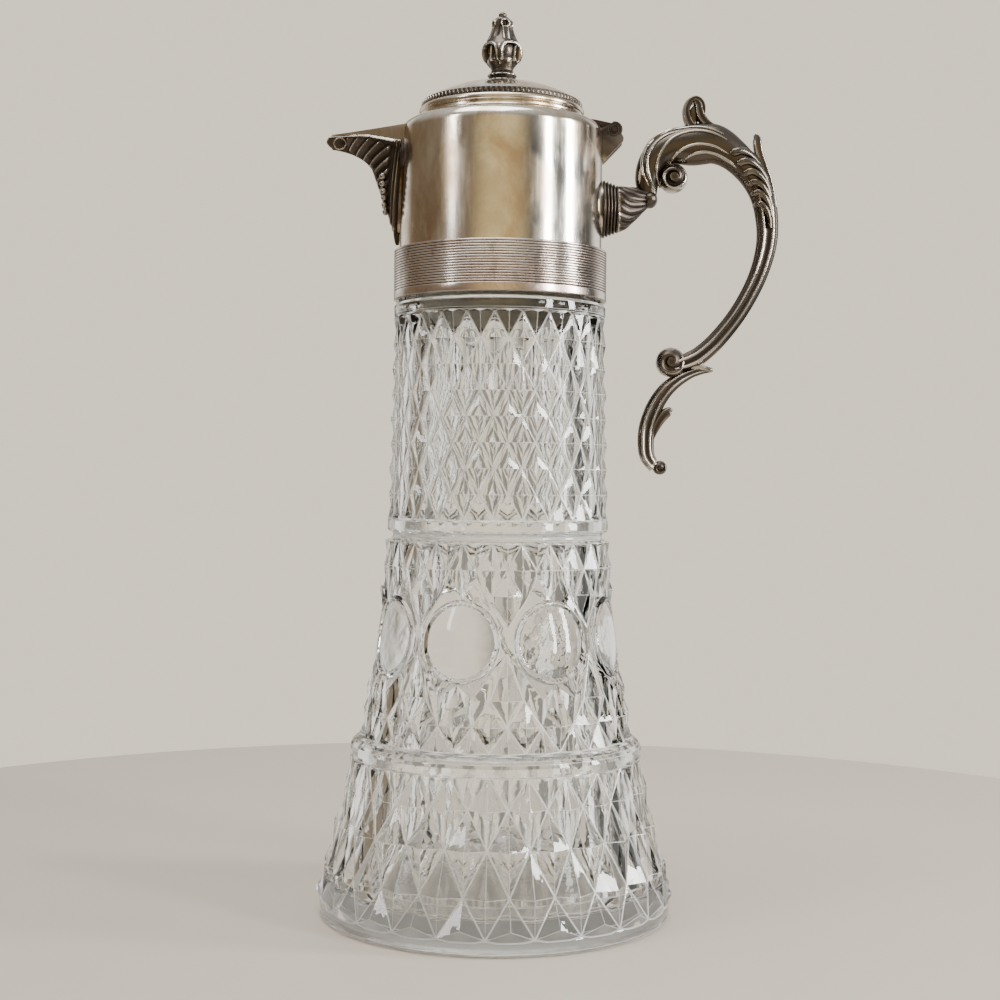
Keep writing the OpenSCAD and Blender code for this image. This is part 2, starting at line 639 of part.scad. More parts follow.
module finial() {
  color([0.45, 0.42, 0.38])
  translate([0, 0, z_finial + solder_gap])
  difference() {
    union() {
      // Its foot is dished to the dome.
      rotate_extrude($fn = 20)
        polygon(concat(
          [for (i = [0 : 2]) let (r = cup_r * i / 2) [r, dome_z(r, 0) - z_finial + solder_gap]],
          [for (p = finial_profile) [p.x * bud_r, p.y * finial_h]], [[0, finial_h]]));
      for (i = [0 : leaves - 1]) rotate([0, 0, leaf_turn - 90 + i * 360 / leaves]) finial_leaf();
    }
    translate([0, 0, -1]) cylinder(h = finial_h * 0.4, r = finial_screw_r + screw_fit, $fn = 24);
  }
}

// A leaf rises from the cup, curls out and back to the bud, and ends in a curl near the tip.
// Stations as shares of the finial's radius and height, half thickness, half width.
finial_line = [[0.46, 0.14, 0.5, 0.6], [0.66, 0.23, 0.8, 0.9], [0.83, 0.33, 0.9, 1.1], [0.89, 0.44, 1, 1.2],
  [0.78, 0.54, 0.9, 1.1], [0.56, 0.6, 0.75, 0.9], [0.4, 0.67, 0.7, 0.8], [0.38, 0.77, 0.75, 0.85],
  [0.47, 0.86, 0.6, 0.7]];
module finial_leaf() {
  sweep([for (s = finial_line) [s.x * finial_r, s.y * finial_h, s[2], s[3]]], 8, 0);
}

module finial_screw() {
  color([0.6, 0.58, 0.5])
  translate([0, 0, z_finial - 5.4]) cylinder(h = 5.4 + finial_h * 0.3, r = finial_screw_r);
}

washer_t = 0.8;
dome_under = dome_z(4, lid_t);
module finial_washer() {
  color([0.6, 0.58, 0.5])
  translate([0, 0, dome_under - washer_t - solder_gap]) difference() {
    cylinder(h = washer_t, r = 4);
    translate([0, 0, -1]) cylinder(h = washer_t + 2, r = finial_screw_r + screw_fit);
  }
}

module finial_nut() {
  nut_h = 2.2;
  color([0.65, 0.6, 0.45])
  translate([0, 0, dome_under - washer_t - 2 * solder_gap - nut_h]) difference() {
    cylinder(h = nut_h, r = finial_screw_r + 1.9, $fn = 6);
    translate([0, 0, -1]) cylinder(h = nut_h + 2, r = finial_screw_r + 0.02);
  }
}

// ---- Handle ----

// Places on the handle are drawn from the middle of the socket's foot, in X and Z, and stretch
// with the handle's reach and drop.
function at(p) = [p.x * handle_reach / 60, p.y * handle_drop / 90];
handle_root = [drum_r, socket_z];

module on_handle() {
  translate([handle_root.x, 0, handle_root.y]) children();
}

// A smooth line through stations [x, z, half thickness, half width]
function between(s, i, t) =
  let (a = s[max(0, i - 1)], b = s[i], c = s[i + 1], d = s[min(len(s) - 1, i + 2)])
  0.5 * (2 * b + t * (c - a) + t * t * (2 * a - 5 * b + 4 * c - d)
    + t * t * t * (3 * b - a - 3 * c + d));
function along(s, n) = concat([for (i = [0 : len(s) - 2], k = [0 : n - 1]) between(s, i, k / n)],
  [s[len(s) - 1]]);

// Three ridges and two shallow grooves run along each side of a section with enough corners.
function rib(c, deep) = 1 - deep * (0.5 + 0.5 * cos(6 * c)) * abs(sin(c));
module sweep(line, corners, deep) {
  m = len(line);
  loft([for (j = [0 : m - 1])
    let (a = line[max(0, j - 1)], b = line[min(m - 1, j + 1)], dir = [b.x - a.x, b.y - a.y],
         side = [-dir.y, dir.x] / norm(dir))
    [for (k = [0 : corners - 1])
      let (c = 360 * k / corners, reach = line[j][2] * cos(c))
      [line[j].x + side.x * reach, line[j][3] * sin(c) * rib(c, deep), line[j].y + side.y * reach]]]);
}

module strand(stations, n = 2, corners = 16, deep = 0.16) {
  sweep([for (s = along(stations, n)) let (p = at([s.x, s.y]))
    [p.x, p.y, s[2] * handle_body, s[3] * handle_half_w / 5.5]], corners, deep);
}

// A drop between two balls, or a pair of them at half width w
module drop(p, r, q, s, w = 0) {
  for (m = w == 0 ? [0] : [-1, 1]) hull() {
    translate([at(p).x, m * w, at(p).y]) sphere(r, $fn = 7);
    translate([at(q).x, m * w, at(q).y]) sphere(s, $fn = 6);
  }
}

// A flat coil with a raised eye on both sides
module volute(p, r, half_w) {
  translate([at(p).x, 0, at(p).y]) rotate([90, 0, 0]) rotate_extrude($fn = 16)
    polygon(concat(
      [[0, -half_w], [r * 0.28, -half_w * 0.9], [r * 0.42, -half_w * 0.62], [r * 0.7, -half_w * 0.82],
       [r, -half_w * 0.4]],
      [[r, half_w * 0.4], [r * 0.7, half_w * 0.82], [r * 0.42, half_w * 0.62], [r * 0.28, half_w * 0.9],
       [0, half_w]]));
}

main_strand = [
  [16.2, 3.6, 2.6, 2.4], [15.6, 9.9, 4.2, 3.9], [17.5, 16.7, 4.9, 5], [22.5, 20.8, 5.5, 5.5],
  [30, 22, 6.9, 5.5], [37.5, 22.4, 6.8, 5.2], [44.3, 19, 5.6, 4.8], [50.5, 12.6, 4.8, 4.4],
  [54.8, 4.8, 4.3, 4], [56.3, -4.4, 3.9, 3.7], [56, -12.2, 3.6, 3.5], [53.7, -20.7, 3.3, 3.3],
  [50.2, -28.6, 3.1, 3.1], [45.5, -36.4, 3.1, 3], [39.5, -43.9, 3.1, 3], [34.2, -48.8, 3.2, 3],
  [30.2, -51.2, 3.3, 3], [25, -52.9, 2.8, 2.6]];
tail_strand = [
  [38.2, -54.4, 0.5, 0.6], [34.4, -54.2, 1.3, 1.3], [30.7, -55.3, 1.7, 1.8], [26.4, -57.6, 2.2, 2.3],
  [22.6, -60.8, 2.6, 2.6], [19.7, -64.8, 2.8, 2.8], [17.7, -69, 2.9, 2.9], [16.2, -74, 3, 2.8],
  [15.8, -79, 3, 2.7], [16.4, -83.6, 2.8, 2.4], [19.4, -88.3, 2.1, 2]];
thumb_strand = [
  [29, 25, 2.6, 3], [28, 30, 2.2, 2.8], [28.6, 34, 1.9, 2.6], [30.8, 36.2, 1.6, 2.4], [33, 35, 1.5, 2.2],
  [33.8, 32, 1.6, 2.2], [34.8, 27, 2, 2.6]];
lobes = 4;                      // leaves that lap over each side of the stem
lobe_w = handle_half_w * 0.72;

module handle_scroll() {
  color([0.4, 0.37, 0.34])
  on_handle() union() {
    fluted_neck();
    strand(main_strand);
    strand(tail_strand, n = 1);
    strand(thumb_strand, n = 1, corners = 10, deep = 0);
    drop([16.6, 4.1], 2.9, [17.6, 3.4], 2.2);
    volute([24, 10.5], 5.4, handle_half_w - 0.7);
    volute([23.9, -51.6], 5.1, handle_half_w * 0.55);
    // Upright leaf on the back
    drop([52.2, 17], 2, [52.9, 24.4], 1.1);
    // Leaves that lap over both sides of the stem
    for (i = [0 : lobes - 1])
      drop([44.6 + 2.8 * i, 15.6 - 5.6 * i], 1.3, [48.4 + 2.3 * i, 16.8 - 6.2 * i], 1.2, lobe_w - 0.35 * i);
    // Side leaf and ball of the tail
    drop([18.6, -70.5], 1.8, [23, -68.9], 1.4);
    drop([20.6, -87], 2.4, [21.2, -87.3], 2.3);
  }
}

// The neck grows out of the socket's end as a fluted cone, and leans up into the scroll.
neck_line = [[socket_len, 0, 7.6], [9.1, 1.3, 6.3], [11.8, 2.7, 4.8], [14.4, 3.9, 3.4], [16.4, 4.6, 2.6]];
flutes = 8;
flute_depth = 0.07;             // as a share of the radius
module fluted_neck() {
  n = 4 * flutes;
  difference() {
    loft([for (j = [0 : len(neck_line) - 1])
      let (p = neck_line[j], q = j == 0 ? [socket_len + solder_gap, 0] : at([p.x, p.y]), lean = 0.09 * j)
      [for (k = [0 : n - 1])
        let (c = 360 * k / n, r = p[2] * (1 + flute_depth * cos(flutes * c)))
        [q.x - r * sin(c) * lean, -r * cos(c), q.y + r * sin(c)]]]);
    rotate([0, 90, 0]) cylinder(h = socket_len + 4.5, r = handle_screw_r + screw_fit, $fn = 24);
  }
}

// Ringed boss, cut to the drum's curve
module handle_socket() {
  rings = 4;
  pitch = (socket_len + 1) / rings;
  color([0.5, 0.46, 0.4])
  difference() {
    on_handle() rotate([0, 90, 0]) rotate_extrude() polygon(concat(
      [[0, -3], [socket_r - 0.4, -3]],
      [for (i = [0 : rings - 1]) let (x = -1 + i * pitch, r = socket_r - 0.55 * i)
        each [[r - 0.6, x], [r - 0.1, x + pitch * 0.25], [r, x + pitch * 0.5], [r - 0.1, x + pitch * 0.75]]],
      [[socket_r - 0.55 * rings - 0.1, socket_len], [0, socket_len]]));
    rotate_extrude() drum_outline(solder_gap);
    handle_bore();
  }
}

// Way of the handle screw through what it clamps
module handle_bore() {
  on_handle() translate([-5, 0, 0]) rotate([0, 90, 0])
    cylinder(h = 20, r = handle_screw_r + screw_fit);
}

// Screw from inside the drum, through the socket into the handle
washer_in = 1.6;                // saddle washer behind the drum's wall
washer_r = 6;
module handle_screw() {
  head_h = 2;
  head_x = -drum_t - washer_in;
  color([0.65, 0.6, 0.45])
  on_handle() rotate([0, 90, 0]) {
    translate([0, 0, head_x]) cylinder(h = socket_len + 4 - head_x, r = handle_screw_r);
    translate([0, 0, head_x - head_h]) cylinder(h = head_h, r = handle_screw_r * 1.9);
  }
}

module handle_washer() {
  color([0.65, 0.6, 0.45])
  difference() {
    on_handle() translate([-drum_t - washer_in + solder_gap, 0, 0]) rotate([0, 90, 0])
      cylinder(h = washer_in + 1, r = washer_r);
    // Its outer face follows the inside of the drum.
    difference() {
      translate([0, 0, socket_z - 20]) cylinder(h = 40, r = drum_r + 5);
      translate([0, 0, socket_z - 21]) cylinder(h = 42, r = drum_r - drum_t - solder_gap);
    }
    handle_bore();
  }
}

glass_body();
cement_ring();
mount_drum();
reeded_band();
spout_channel();
spout_casting();
hinge_bracket();
hinge_pin();
handle_socket();
handle_scroll();
handle_screw();
handle_washer();
lid_shell();
lid_milled_ring();
lid_bezel();
lid_hinge_leaf();
finial();
finial_screw();
finial_washer();
finial_nut();
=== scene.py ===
import math
from collections import Counter

import bmesh
import bpy
import numpy as np
from bpy.props import FloatProperty, FloatVectorProperty, IntProperty, PointerProperty
from mathutils import Matrix, Vector
from mathutils.geometry import delaunay_2d_cdt


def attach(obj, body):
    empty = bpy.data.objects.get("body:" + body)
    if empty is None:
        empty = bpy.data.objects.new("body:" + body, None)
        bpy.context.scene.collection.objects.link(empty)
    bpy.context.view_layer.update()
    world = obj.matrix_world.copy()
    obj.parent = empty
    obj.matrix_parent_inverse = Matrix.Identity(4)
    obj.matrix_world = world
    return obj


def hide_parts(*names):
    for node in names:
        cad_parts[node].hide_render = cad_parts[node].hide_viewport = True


bl_info = {
    "name": "Claret jug",
    "version": (1, 0, 0),
    "blender": (4, 5, 0),
    "location": "3D View > Sidebar > Claret jug",
    "description": "Builds a pressed-glass claret jug with a silver-plated mount, cast handle and lid",
    "category": "Add Mesh",
}

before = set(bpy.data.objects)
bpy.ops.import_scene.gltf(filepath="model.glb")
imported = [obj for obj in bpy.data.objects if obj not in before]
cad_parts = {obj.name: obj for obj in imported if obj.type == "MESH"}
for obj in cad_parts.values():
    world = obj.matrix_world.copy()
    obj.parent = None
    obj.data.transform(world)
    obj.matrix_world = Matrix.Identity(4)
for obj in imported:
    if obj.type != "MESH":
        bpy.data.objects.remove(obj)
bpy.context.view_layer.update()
MM = 0.001

# Heights in millimetres from the table up
Z_LOW = 5.2                     # foot of the lowest field of diamonds
Z_LEDGE = 53.0                  # ledge between the lowest and the middle field
Z_MID = 60.0                    # foot of the middle field
Z_GROOVE = 125.5                # groove over the middle field
Z_WAIST = 129.0                 # plain ring under the top field
Z_TOP = 133.0                   # foot of the top field
Z_RING = 200.0                  # shoulder ring over the top field
Z_NECK = 205.2                  # foot of the neck, which the mount hides
Z_RIM = 221.7                   # rim of the glass
Z_BAND = 206.5                  # lower edge of the reeded band
Z_BAND_TOP = 223.2
SOCKET_Z = 238.2                # axis of the handle's socket
Z_WALL_TOP = 262.2              # where the drum's wall turns into its shoulder
HINGE_Z = 264.4
Z_SEAT = 267.4                  # seat of the lid on the drum
Z_LID = 267.65                  # underside of the lid's flange
Z_FINIAL = 280.32               # foot of the finial on the dome

# Radii and thicknesses in millimetres
LEDGE_R = 49.4
MID_FOOT_R = 46.5
MID_TOP_R = 38.3
WAIST_R = 37.4
RING_R = 35.9                   # top of the top field
SHOULDER_R = 35.8
NECK_R = 32.4
BORE_R = 28.4                   # inside of the neck
PUNT = 2.0                      # depth of the hollow under the foot
FLOOR = 8.0                     # height of the floor's upper face
LOW_WALL, MID_WALL = 6.5, 5.5   # from the points of a field to the inner wall
DRUM_T = 0.8
FILLET = 4.6                    # rounding of the drum's shoulder
SEAT_R = 28.9
MOUTH_R = 27.1
SPOUT_FOOT = 5.5                # from the band up to the foot of the beak
HINGE_X = 38.0
SOLDER = 0.05                   # gap between pieces that are soldered

# The pattern of the glass: odd and even spots of a row are points and grooves in turn
COLUMNS = 48                    # spots in a row
STEP = 360.0 / COLUMNS          # angle between them
AROUND = 4 * COLUMNS            # corners of the glass's plain rings
SECTORS = 8                     # ovals
PHASE = -92.5                   # angle of the first column of diamonds
LOW_ROWS = (0, 0.25, 0.54, 0.79, 1)  # rows of the lowest field, as shares of its height
MID_ROW = 8.2                   # height of a row of the middle field
TOP_ROWS = 8                    # rows of the top field

# An oval: across in degrees, up in millimetres; depths lie under the field's points
OVAL_Z = 94.4
OVAL_ACROSS = 19.6
OVAL_UP = 13.5
GROUND = 2.6                    # smooth ground round the ovals
LENS = 0.84                     # edge of the lens, as a share of the oval
LENS_TOP, LENS_EDGE = 0.4, 2.1  # depth of the lens in its middle and at its edge
# Depth of the ring round the lens at shares of the oval
OVAL_RIM = [(1.0, GROUND), (0.982, 2.2), (0.96, 1.6), (0.935, 1.25), (0.91, 1.2), (0.885, 1.55),
            (0.86, 1.95), (LENS, LENS_EDGE)]

FINE = 256                      # corners round the turned silver


# ---- Sums over sockets, for shaders and geometry nodes alike ----

class Wire:
    """The output of a node, which can be added, multiplied and linked."""

    def __init__(self, net, socket):
        self.net, self.socket = net, socket

    def math(self, how, *others):
        return self.net.node("ShaderNodeMath", {"operation": how}, dict(enumerate((self,) + others)))

    def __add__(self, other):
        return self.math("ADD", other)

    def __sub__(self, other):
        return self.math("SUBTRACT", other)

    def __rsub__(self, other):
        return self.net.node("ShaderNodeMath", {"operation": "SUBTRACT"}, {0: other, 1: self})

    def __mul__(self, other):
        return self.math("MULTIPLY", other)

    def __truediv__(self, other):
        return self.math("DIVIDE", other)

    __radd__ = __add__
    __rmul__ = __mul__

    def fit(self, lo, hi, to_lo=0.0, to_hi=1.0):
        """Smoothly from to_lo below lo up to to_hi above hi."""
        return self.net.node("ShaderNodeMapRange", {"interpolation_type": "SMOOTHSTEP"},
                             {"Value": self, "From Min": lo, "From Max": hi, "To Min": to_lo,
                              "To Max": to_hi}, "Result")

    def scaled(self, by):
        """This vector, each part times its share of by."""
        return self.net.node("ShaderNodeVectorMath", {"operation": "MULTIPLY"}, {0: self, 1: by})

    def parts(self):
        return [self.net.node("ShaderNodeSeparateXYZ", {}, {0: self}, k) for k in "XYZ"]

    def round_axis(self):
        """How far this place lies from the Z axis, and its height."""
        x, y, z = self.parts()
        return (x * x + y * y).math("SQRT"), z


class Net:
    """A node tree and its nodes."""

    def __init__(self, tree):
        self.tree = tree
        tree.nodes.clear()

    def node(self, kind, settings=None, values=None, out=0):
        """Adds a node with its settings and the values or links of its sockets; gives one output."""
        node = self.tree.nodes.new(kind)
        for key, value in (settings or {}).items():
            setattr(node, key, value)
        for key, value in (values or {}).items():
            socket = self.find(node.inputs, key)
            if isinstance(value, Wire):
                self.tree.links.new(value.socket, socket)
            else:
                socket.default_value = value
        return Wire(self, self.find(node.outputs, out)) if node.outputs else node

    def blend(self, share, a, b):
        """The colour a that share leads over to the colour b."""
        return self.node("ShaderNodeMix", {"data_type": "RGBA"},
                         {"Factor_Float": share, "A_Color": a, "B_Color": b}, "Result_Color")

    def find(self, sockets, key):
        """The socket with that number, identifier or name."""
        if isinstance(key, int):
            return sockets[key]
        for socket in sockets:
            if socket.identifier == key and socket.enabled:
                return socket
        return next(s for s in sockets if s.name == key and s.enabled)


class Paint(Net):
    """The node tree of a material."""

    def __init__(self, name):
        self.material = bpy.data.materials.new(name)
        self.material.use_nodes = True
        super().__init__(self.material.node_tree)

    def here(self):
        return self.node("ShaderNodeTexCoord", {}, {}, "Object")

    def noise(self, place, scale, detail, rough, warp=0.0):
        """Soft noise round a half; its scale is in patches per metre."""
        return self.node("ShaderNodeTexNoise", {}, {"Vector": place, "Scale": scale, "Detail": detail,
                                                    "Roughness": rough, "Distortion": warp}, "Fac")

    def attribute(self, name):
        return self.node("ShaderNodeAttribute", {"attribute_name": name}, {}, "Fac")

    def bump(self, height, distance, strength):
        return self.node("ShaderNodeBump", {}, {"Height": height, "Distance": distance,
                                                "Strength": strength}, "Normal")

    def surface(self, **values):
        """Ends the material in one Principled shader."""
        named = {key.replace("_", " "): value for key, value in values.items()}
        shader = self.node("ShaderNodeBsdfPrincipled", {}, named, "BSDF")
        self.node("ShaderNodeOutputMaterial", {}, {"Surface": shader})
        return self.material


class Growth(Net):
    """A geometry node tree with named inputs."""

    def __init__(self, name):
        super().__init__(bpy.data.node_groups.new(name, "GeometryNodeTree"))
        self.tree.interface.new_socket("Geometry", in_out="INPUT", socket_type="NodeSocketGeometry")
        self.tree.interface.new_socket("Geometry", in_out="OUTPUT", socket_type="NodeSocketGeometry")
        self.entry = self.tree.nodes.new("NodeGroupInput")

    def ask(self, name, kind="Float", default=None):
        item = self.tree.interface.new_socket(name, in_out="INPUT", socket_type="NodeSocket" + kind)
        if default is not None:
            item.default_value = default
        return Wire(self, self.entry.outputs[name])

    def given(self):
        return Wire(self, self.entry.outputs["Geometry"])

    def named(self, name, kind="FLOAT"):
        return self.node("GeometryNodeInputNamedAttribute", {"data_type": kind}, {"Name": name},
                         "Attribute")

    def beside_given(self, shape):
        """The geometry that the tree was given, and the shape."""
        whole = self.node("GeometryNodeJoinGeometry")
        for part in (self.given(), shape):
            self.tree.links.new(part.socket, whole.socket.node.inputs[0])
        return whole

    def close(self, shape, finish):
        """Makes the instances real and gives them their material."""
        shape = self.node("GeometryNodeRealizeInstances", {}, {"Geometry": shape})
        shape = self.node("GeometryNodeSetMaterial", {}, {"Geometry": shape, "Material": finish})
        self.node("NodeGroupOutput", {}, {"Geometry": shape})
        return self.tree


def grow(obj, tree, **values):
    """Runs a tree on the object and keeps what comes out as its plain mesh."""
    modifier = obj.modifiers.new("growth", "NODES")
    modifier.node_group = tree
    for item in tree.interface.items_tree:
        key = item.name.replace(" ", "_")
        if item.item_type == "SOCKET" and item.in_out == "INPUT" and key in values:
            modifier[item.identifier] = values[key]
    settle(obj)
    return obj


def settle(obj):
    """Replaces the mesh by the one its modifiers give."""
    graph = bpy.context.evaluated_depsgraph_get()
    mesh = bpy.data.meshes.new_from_object(obj.evaluated_get(graph), preserve_all_data_layers=True,
                                           depsgraph=graph)
    obj.modifiers.clear()
    obj.data = mesh


# ---- Sections, skins and pieces; sizes in millimetres ----

def lerp(a, b, t):
    return a + (b - a) * t


def ease(t):
    t = min(1.0, max(0.0, t))
    return t * t * (3 - 2 * t)


def bell(c, middle, width):
    return math.exp(-((c - middle) / width) ** 2)


def arc(x, z, r, a0, a1, n=10):
    return [(x + r * math.cos(math.radians(lerp(a0, a1, i / n))),
             z + r * math.sin(math.radians(lerp(a0, a1, i / n)))) for i in range(n + 1)]


def polar(angle, r, z):
    a = math.radians(angle)
    return r * math.cos(a), r * math.sin(a), z


def stepped(x, z, *offsets):
    """Points of a section, each given by its offset from (x, z)."""
    return [(x + right, z + up) for right, up in offsets]


def soften(section, radius, steps=3):
    """The closed section with every corner off the axis rounded."""
    out = []
    for i, (x, z) in enumerate(section):
        before, after = section[i - 1], section[(i + 1) % len(section)]
        a, b = (before[0] - x, before[1] - z), (after[0] - x, after[1] - z)
        la, lb = math.hypot(*a), math.hypot(*b)
        if x < 1e-4 or min(la, lb) < 1e-5 or (a[0] * b[0] + a[1] * b[1]) / (la * lb) < -0.985:
            out.append((x, z))
            continue
        ka, kb = min(radius, 0.42 * la) / la, min(radius, 0.42 * lb) / lb
        for j in range(steps + 1):
            t = j / steps
            u, v = (1 - t) ** 2 * ka, t ** 2 * kb
            out.append((x + a[0] * u + b[0] * v, z + a[1] * u + b[1] * v))
    return out


def turned(section, count):
    """Skin of a closed section (radius, height) turned round the Z axis."""
    points, rings, faces = [], [], []
    for r, z in section:
        rings.append(list(range(len(points), len(points) + (1 if r < 1e-4 else count))))
        if r < 1e-4:
            points.append((0.0, 0.0, z))
        else:
            points += [(r * math.cos(math.tau * i / count), r * math.sin(math.tau * i / count), z)
                       for i in range(count)]
    for a, b in zip(rings, rings[1:] + rings[:1]):
        if len(a) == 1 and len(b) == 1:
            continue
        for i in range(count):
            j = (i + 1) % count
            corners = [a[i % len(a)], a[j % len(a)], b[j % len(b)], b[i % len(b)]]
            faces.append(tuple(dict.fromkeys(corners)))
    return points, faces


def rod(r, low, high, count=32):
    """Skin of a plain rod on the Z axis."""
    return turned([(0, low), (r, low), (r, high), (0, high)], count)


def drawn_out(outline, half_w):
    """Skin of an outline in X and Z drawn out to both sides along Y."""
    n = len(outline)
    points = [(x, y, z) for y in (-half_w, half_w) for x, z in outline]
    faces = [tuple(range(n)), tuple(range(2 * n - 1, n - 1, -1))]
    faces += [(i, i + n, (i + 1) % n + n, (i + 1) % n) for i in range(n)]
    return points, faces


def smooth_line(stations, steps):
    """Points on a smooth line through the stations."""
    s = np.array(stations, float)
    s = np.vstack([s[0], s, s[-1]])
    out = []
    for i in range(1, len(s) - 2):
        a, b, c, d = s[i - 1:i + 3]
        for k in range(steps):
            t = k / steps
            out.append(0.5 * (2 * b + t * (c - a) + t * t * (2 * a - 5 * b + 4 * c - d)
                              + t ** 3 * (3 * b - a - 3 * c + d)))
    return np.array(out + [s[-2]])


def lofted(rings):
    """Skin over rings of points, each end closed to a point in its middle."""
    rings = np.array(rings)
    m, n = rings.shape[:2]
    points = [tuple(p) for ring in rings for p in ring] + [tuple(rings[0].mean(0)), tuple(rings[-1].mean(0))]
    faces = [(j * n + i, j * n + (i + 1) % n, (j + 1) * n + (i + 1) % n, (j + 1) * n + i)
             for j in range(m - 1) for i in range(n)]
    faces += [(m * n, (i + 1) % n, i) for i in range(n)]
    faces += [(m * n + 1, (m - 1) * n + i, (m - 1) * n + (i + 1) % n) for i in range(n)]
    return points, faces


def strand(stations, relief=None, corners=40, steps=8):
    """Skin round a line in the XZ plane through stations (x, z, half thickness, half width).

    The relief gives a share of the half width at a share of the way and at an angle, in degrees, that runs
    from 0 at the outer face of a bend to 180 at its inner face."""
    line = smooth_line(stations, steps)
    way = np.gradient(line[:, :2], axis=0)
    way /= np.linalg.norm(way, axis=1)[:, None]
    rings = []
    for j, (x, z, thick, wide) in enumerate(line):
        ring = []
        for k in range(corners):
            c = math.tau * k / corners
            lift = relief(j / (len(line) - 1), math.degrees(min(c, math.tau - c))) if relief else 1.0
            reach = thick * math.cos(c)
            ring.append((x - way[j][1] * reach, wide * math.sin(c) * lift, z + way[j][0] * reach))
        rings.append(ring)
    return lofted(rings)


def tube(points, radii, corners):
    """Skin of a round tube along any line, of one radius or one for each point."""
    line = np.array(points, float)
    way = np.gradient(line, axis=0)
    way /= np.linalg.norm(way, axis=1)[:, None]
    side = np.cross(way[0], (0.3, 0.5, 0.81))
    rings = []
    for p, w, r in zip(line, way, np.broadcast_to(radii, len(line))):
        side = side - w * side.dot(w)
        side /= np.linalg.norm(side)
        up = np.cross(w, side)
        rings.append([p + r * (math.cos(math.tau * k / corners) * side
                               + math.sin(math.tau * k / corners) * up) for k in range(corners)])
    return lofted(rings)


def ball(centre, radii, rings=12, corners=20):
    """Skin of a rounded drop."""
    stack = [[(centre[0] + radii[0] * math.sin(a) * math.cos(math.tau * k / corners),
               centre[1] + radii[1] * math.sin(a) * math.sin(math.tau * k / corners),
               centre[2] + radii[2] * math.cos(a)) for k in range(corners)]
             for a in [math.pi * (j + 0.5) / rings for j in range(rings)]]
    return lofted(stack)


def both(skin):
    """The skin and its mirror image across Y = 0."""
    points, faces = skin
    n = len(points)
    return (points + [(x, -y, z) for x, y, z in points],
            faces + [tuple(n + i for i in reversed(f)) for f in faces])


def moved(skin, matrix):
    return [tuple(matrix @ Vector(p)) for p in skin[0]], skin[1]


def at(x, z):
    return Matrix.Translation((x, 0, z))


def quarter_turn(axis, angle=90):
    return Matrix.Rotation(math.radians(angle), 4, axis)


def joined(*skins):
    points, faces = [], []
    for p, f in skins:
        faces += [tuple(i + len(points) for i in face) for face in f]
        points += list(p)
    return points, faces


def piece(name, skin, sharp=32, weld=False):
    """An object of the skin, smooth but for edges sharper than the angle, normals outward."""
    mesh = bpy.data.meshes.new(name)
    mesh.from_pydata([(x * MM, y * MM, z * MM) for x, y, z in skin[0]], [], skin[1])
    work = bmesh.new()
    work.from_mesh(mesh)
    if weld:
        bmesh.ops.remove_doubles(work, verts=work.verts, dist=2e-6)
    bmesh.ops.recalc_face_normals(work, faces=work.faces)
    work.to_mesh(mesh)
    work.free()
    obj = bpy.data.objects.new(name, mesh)
    bpy.context.scene.collection.objects.link(obj)
    polish(obj, sharp)
    return obj


def polish(obj, sharp=32):
    """Makes the faces smooth, but for edges sharper than the angle."""
    obj.data.polygons.foreach_set("use_smooth", [True] * len(obj.data.polygons))
    obj.data.set_sharp_from_angle(angle=math.radians(sharp))


def cut(obj, skin):
    """Takes the room inside the skin away from the object."""
    cutter = piece("cutter", skin)
    modifier = obj.modifiers.new("cut", "BOOLEAN")
    modifier.operation = "DIFFERENCE"
    modifier.solver = "EXACT"
    modifier.object = cutter
    settle(obj)
    drop(cutter)
    if not obj.data.polygons:
        raise RuntimeError(f"{obj.name}: nothing is left after the cut")


def drop(obj):
    mesh = obj.data
    bpy.data.objects.remove(obj)
    bpy.data.meshes.remove(mesh)


def fit(obj, body, slot, material, *nodes):
    """Gives a finished piece its material and its place in the frame."""
    obj.data.materials.clear()
    obj.data.materials.append(material)
    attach(obj, body)
    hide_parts(*nodes)


def wear(obj, rounds, lift=0.0):
    """Stores how far each point stands out of the surface round it: 0 in a hollow, 1 on a ridge.

    More rounds of evening out find broader hollows; the lift is added all over."""
    mesh = obj.data
    n = len(mesh.vertices)
    place, normal = np.empty(3 * n), np.empty(3 * n)
    mesh.vertices.foreach_get("co", place)
    mesh.vertices.foreach_get("normal", normal)
    place, normal = place.reshape(n, 3), normal.reshape(n, 3)
    ends = np.empty(2 * len(mesh.edges), int)
    mesh.edges.foreach_get("vertices", ends)
    a, b = ends[::2], ends[1::2]
    count = np.bincount(a, minlength=n) + np.bincount(b, minlength=n)
    even = place.copy()
    for _ in range(rounds):
        total = np.zeros((n, 3))
        np.add.at(total, a, even[b])
        np.add.at(total, b, even[a])
        even = total / np.maximum(count, 1)[:, None]
    stand = ((place - even) * normal).sum(1)
    values = np.interp(stand, np.percentile(stand, (6, 50, 94)), (0.0, 0.5, 1.0))
    layer = mesh.attributes.new("wear", "FLOAT", "POINT")
    layer.data.foreach_set("value", values + lift)


def worn_evenly(obj, level, where=None):
    """Gives the piece one level of wear: all over, or by the share that where gives for its points in mm."""
    n = len(obj.data.vertices)
    layer = obj.data.attributes.get("wear") or obj.data.attributes.new("wear", "FLOAT", "POINT")
    values, place = np.zeros(n), np.empty(3 * n)
    layer.data.foreach_get("value", values)
    obj.data.vertices.foreach_get("co", place)
    share = np.clip(where(place.reshape(n, 3) / MM), 0, 1) if where else 1.0
    layer.data.foreach_set("value", values + (level - values) * share)
    return obj


# ---- What a user would change ----

def length(name, about, default, low, high):
    return FloatProperty(name=name, description=about, default=default, min=low, max=high,
                         unit="LENGTH", precision=4)


def colour(name, about, default):
    return FloatVectorProperty(name=name, description=about, default=default, size=3, min=0, max=1,
                               subtype="COLOR")


